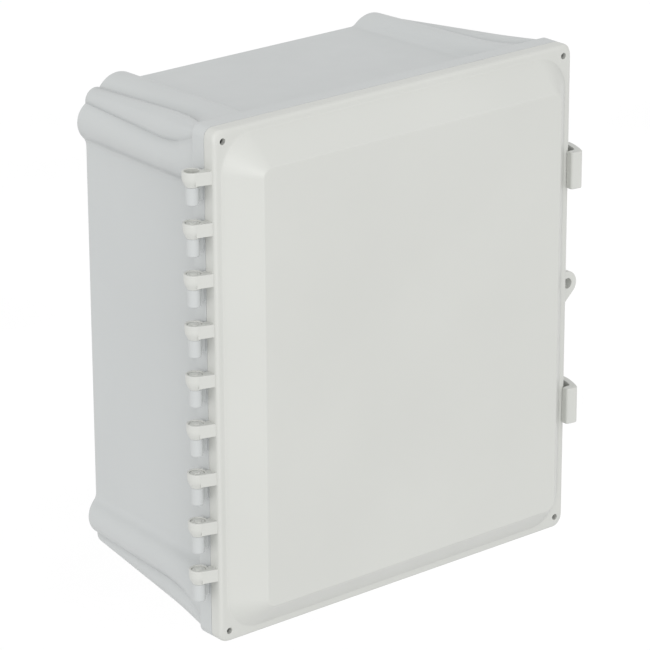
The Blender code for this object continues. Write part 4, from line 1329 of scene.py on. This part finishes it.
def make_world():
    """A white surround, a little brighter on the left and in front, and darker below the horizon."""
    world = bpy.data.worlds.new("studio")
    bpy.context.scene.world = world
    world.use_nodes = True
    tree = world.node_tree
    background = tree.nodes["Background"]
    background.inputs["Color"].default_value = (1.0, 1.0, 1.0, 1.0)
    place = tree.nodes.new("ShaderNodeTexCoord")
    dot = tree.nodes.new("ShaderNodeVectorMath")
    dot.operation = "DOT_PRODUCT"
    dot.inputs[1].default_value = AMBIENT_TILT
    tilted = tree.nodes.new("ShaderNodeMath")
    tilted.operation = "ADD"
    tilted.inputs[1].default_value = AMBIENT
    tree.links.new(place.outputs["Generated"], dot.inputs[0])
    tree.links.new(dot.outputs["Value"], tilted.inputs[0])
    height = tree.nodes.new("ShaderNodeSeparateXYZ")
    tree.links.new(place.outputs["Generated"], height.inputs["Vector"])
    below = tree.nodes.new("ShaderNodeMath")
    below.operation = "MINIMUM"
    below.inputs[1].default_value = 0.0
    tree.links.new(height.outputs["Z"], below.inputs[0])
    darker = tree.nodes.new("ShaderNodeMath")
    darker.operation = "MULTIPLY_ADD"
    darker.inputs[1].default_value = AMBIENT_BELOW
    tree.links.new(below.outputs["Value"], darker.inputs[0])
    tree.links.new(tilted.outputs["Value"], darker.inputs[2])
    tree.links.new(darker.outputs["Value"], background.inputs["Strength"])


def make_key_light():
    data = bpy.data.lights.new("key", "SUN")
    data.energy = KEY_STRENGTH
    data.angle = math.radians(KEY_WIDTH)
    key = bpy.data.objects.new("key", data)
    key.rotation_mode = "QUATERNION"
    key.rotation_quaternion = Vector(KEY_DIRECTION).to_track_quat("Z", "Y")
    bpy.context.scene.collection.objects.link(key)


def make_floor():
    """A wide pale floor that takes no part in the bounced light."""
    built = bmesh.new()
    bmesh.ops.create_grid(built, x_segments=1, y_segments=1, size=FLOOR_SIZE)
    floor = make_object("floor", built)
    floor.location.z = FLOOR_Z
    graph = Graph("floor_paper")
    tint = graph.ramp(graph.noise(2.0, 2.0), 0.3, 0.7, (0.95, 0.95, 0.95), (0.98, 0.98, 0.98))
    graph.link(tint, graph.shader.inputs["Base Color"])
    graph.shader.inputs["Roughness"].default_value = 0.9
    graph.shader.inputs["Specular IOR Level"].default_value = 0.1
    floor.data.materials.append(graph.material)
    floor.visible_diffuse = False


def main():
    bpy.context.scene.view_settings.view_transform = "Standard"
    make_camera()
    make_world()
    make_key_light()
    make_floor()
    # The base material carries painted shade: it is darker and cooler than the cover plastic.
    make_base(moulded_plastic("base_plastic", BASE_SHADED_COLOUR, 0.42))
    make_cover(moulded_plastic("cover_plastic", COVER_COLOUR, 0.38))
    make_gasket(gasket_rubber())
    pin_plastic = moulded_plastic("pin_plastic", COVER_COLOUR, 0.42)
    for index in range(HINGE_COUNT):
        make_hinge_pin(index, pin_plastic)
    latch_plastic = moulded_plastic("latch_plastic", COVER_COLOUR, 0.36)
    steel = turned_metal("pin_steel", (0.62, 0.62, 0.63), 0.28, (1.0, 1.0, 12.0))
    for end in LATCHES:
        make_latch(end, latch_plastic)
        make_latch_pin(end, steel)
    brass = turned_metal("insert_brass", (0.78, 0.58, 0.28), 0.30, (1.0, 12.0, 1.0))
    for kind, bore in INSERT_BORES.items():
        for number in range(1, 5):
            make_insert("%s_insert_%d" % (kind, number), bore, brass)
    make_panel(panel_paint())
    zinc = turned_metal("screw_zinc", (0.70, 0.71, 0.73), 0.30, (1.0, 12.0, 1.0))
    for number in range(1, 5):
        make_panel_screw(number, zinc)


main()
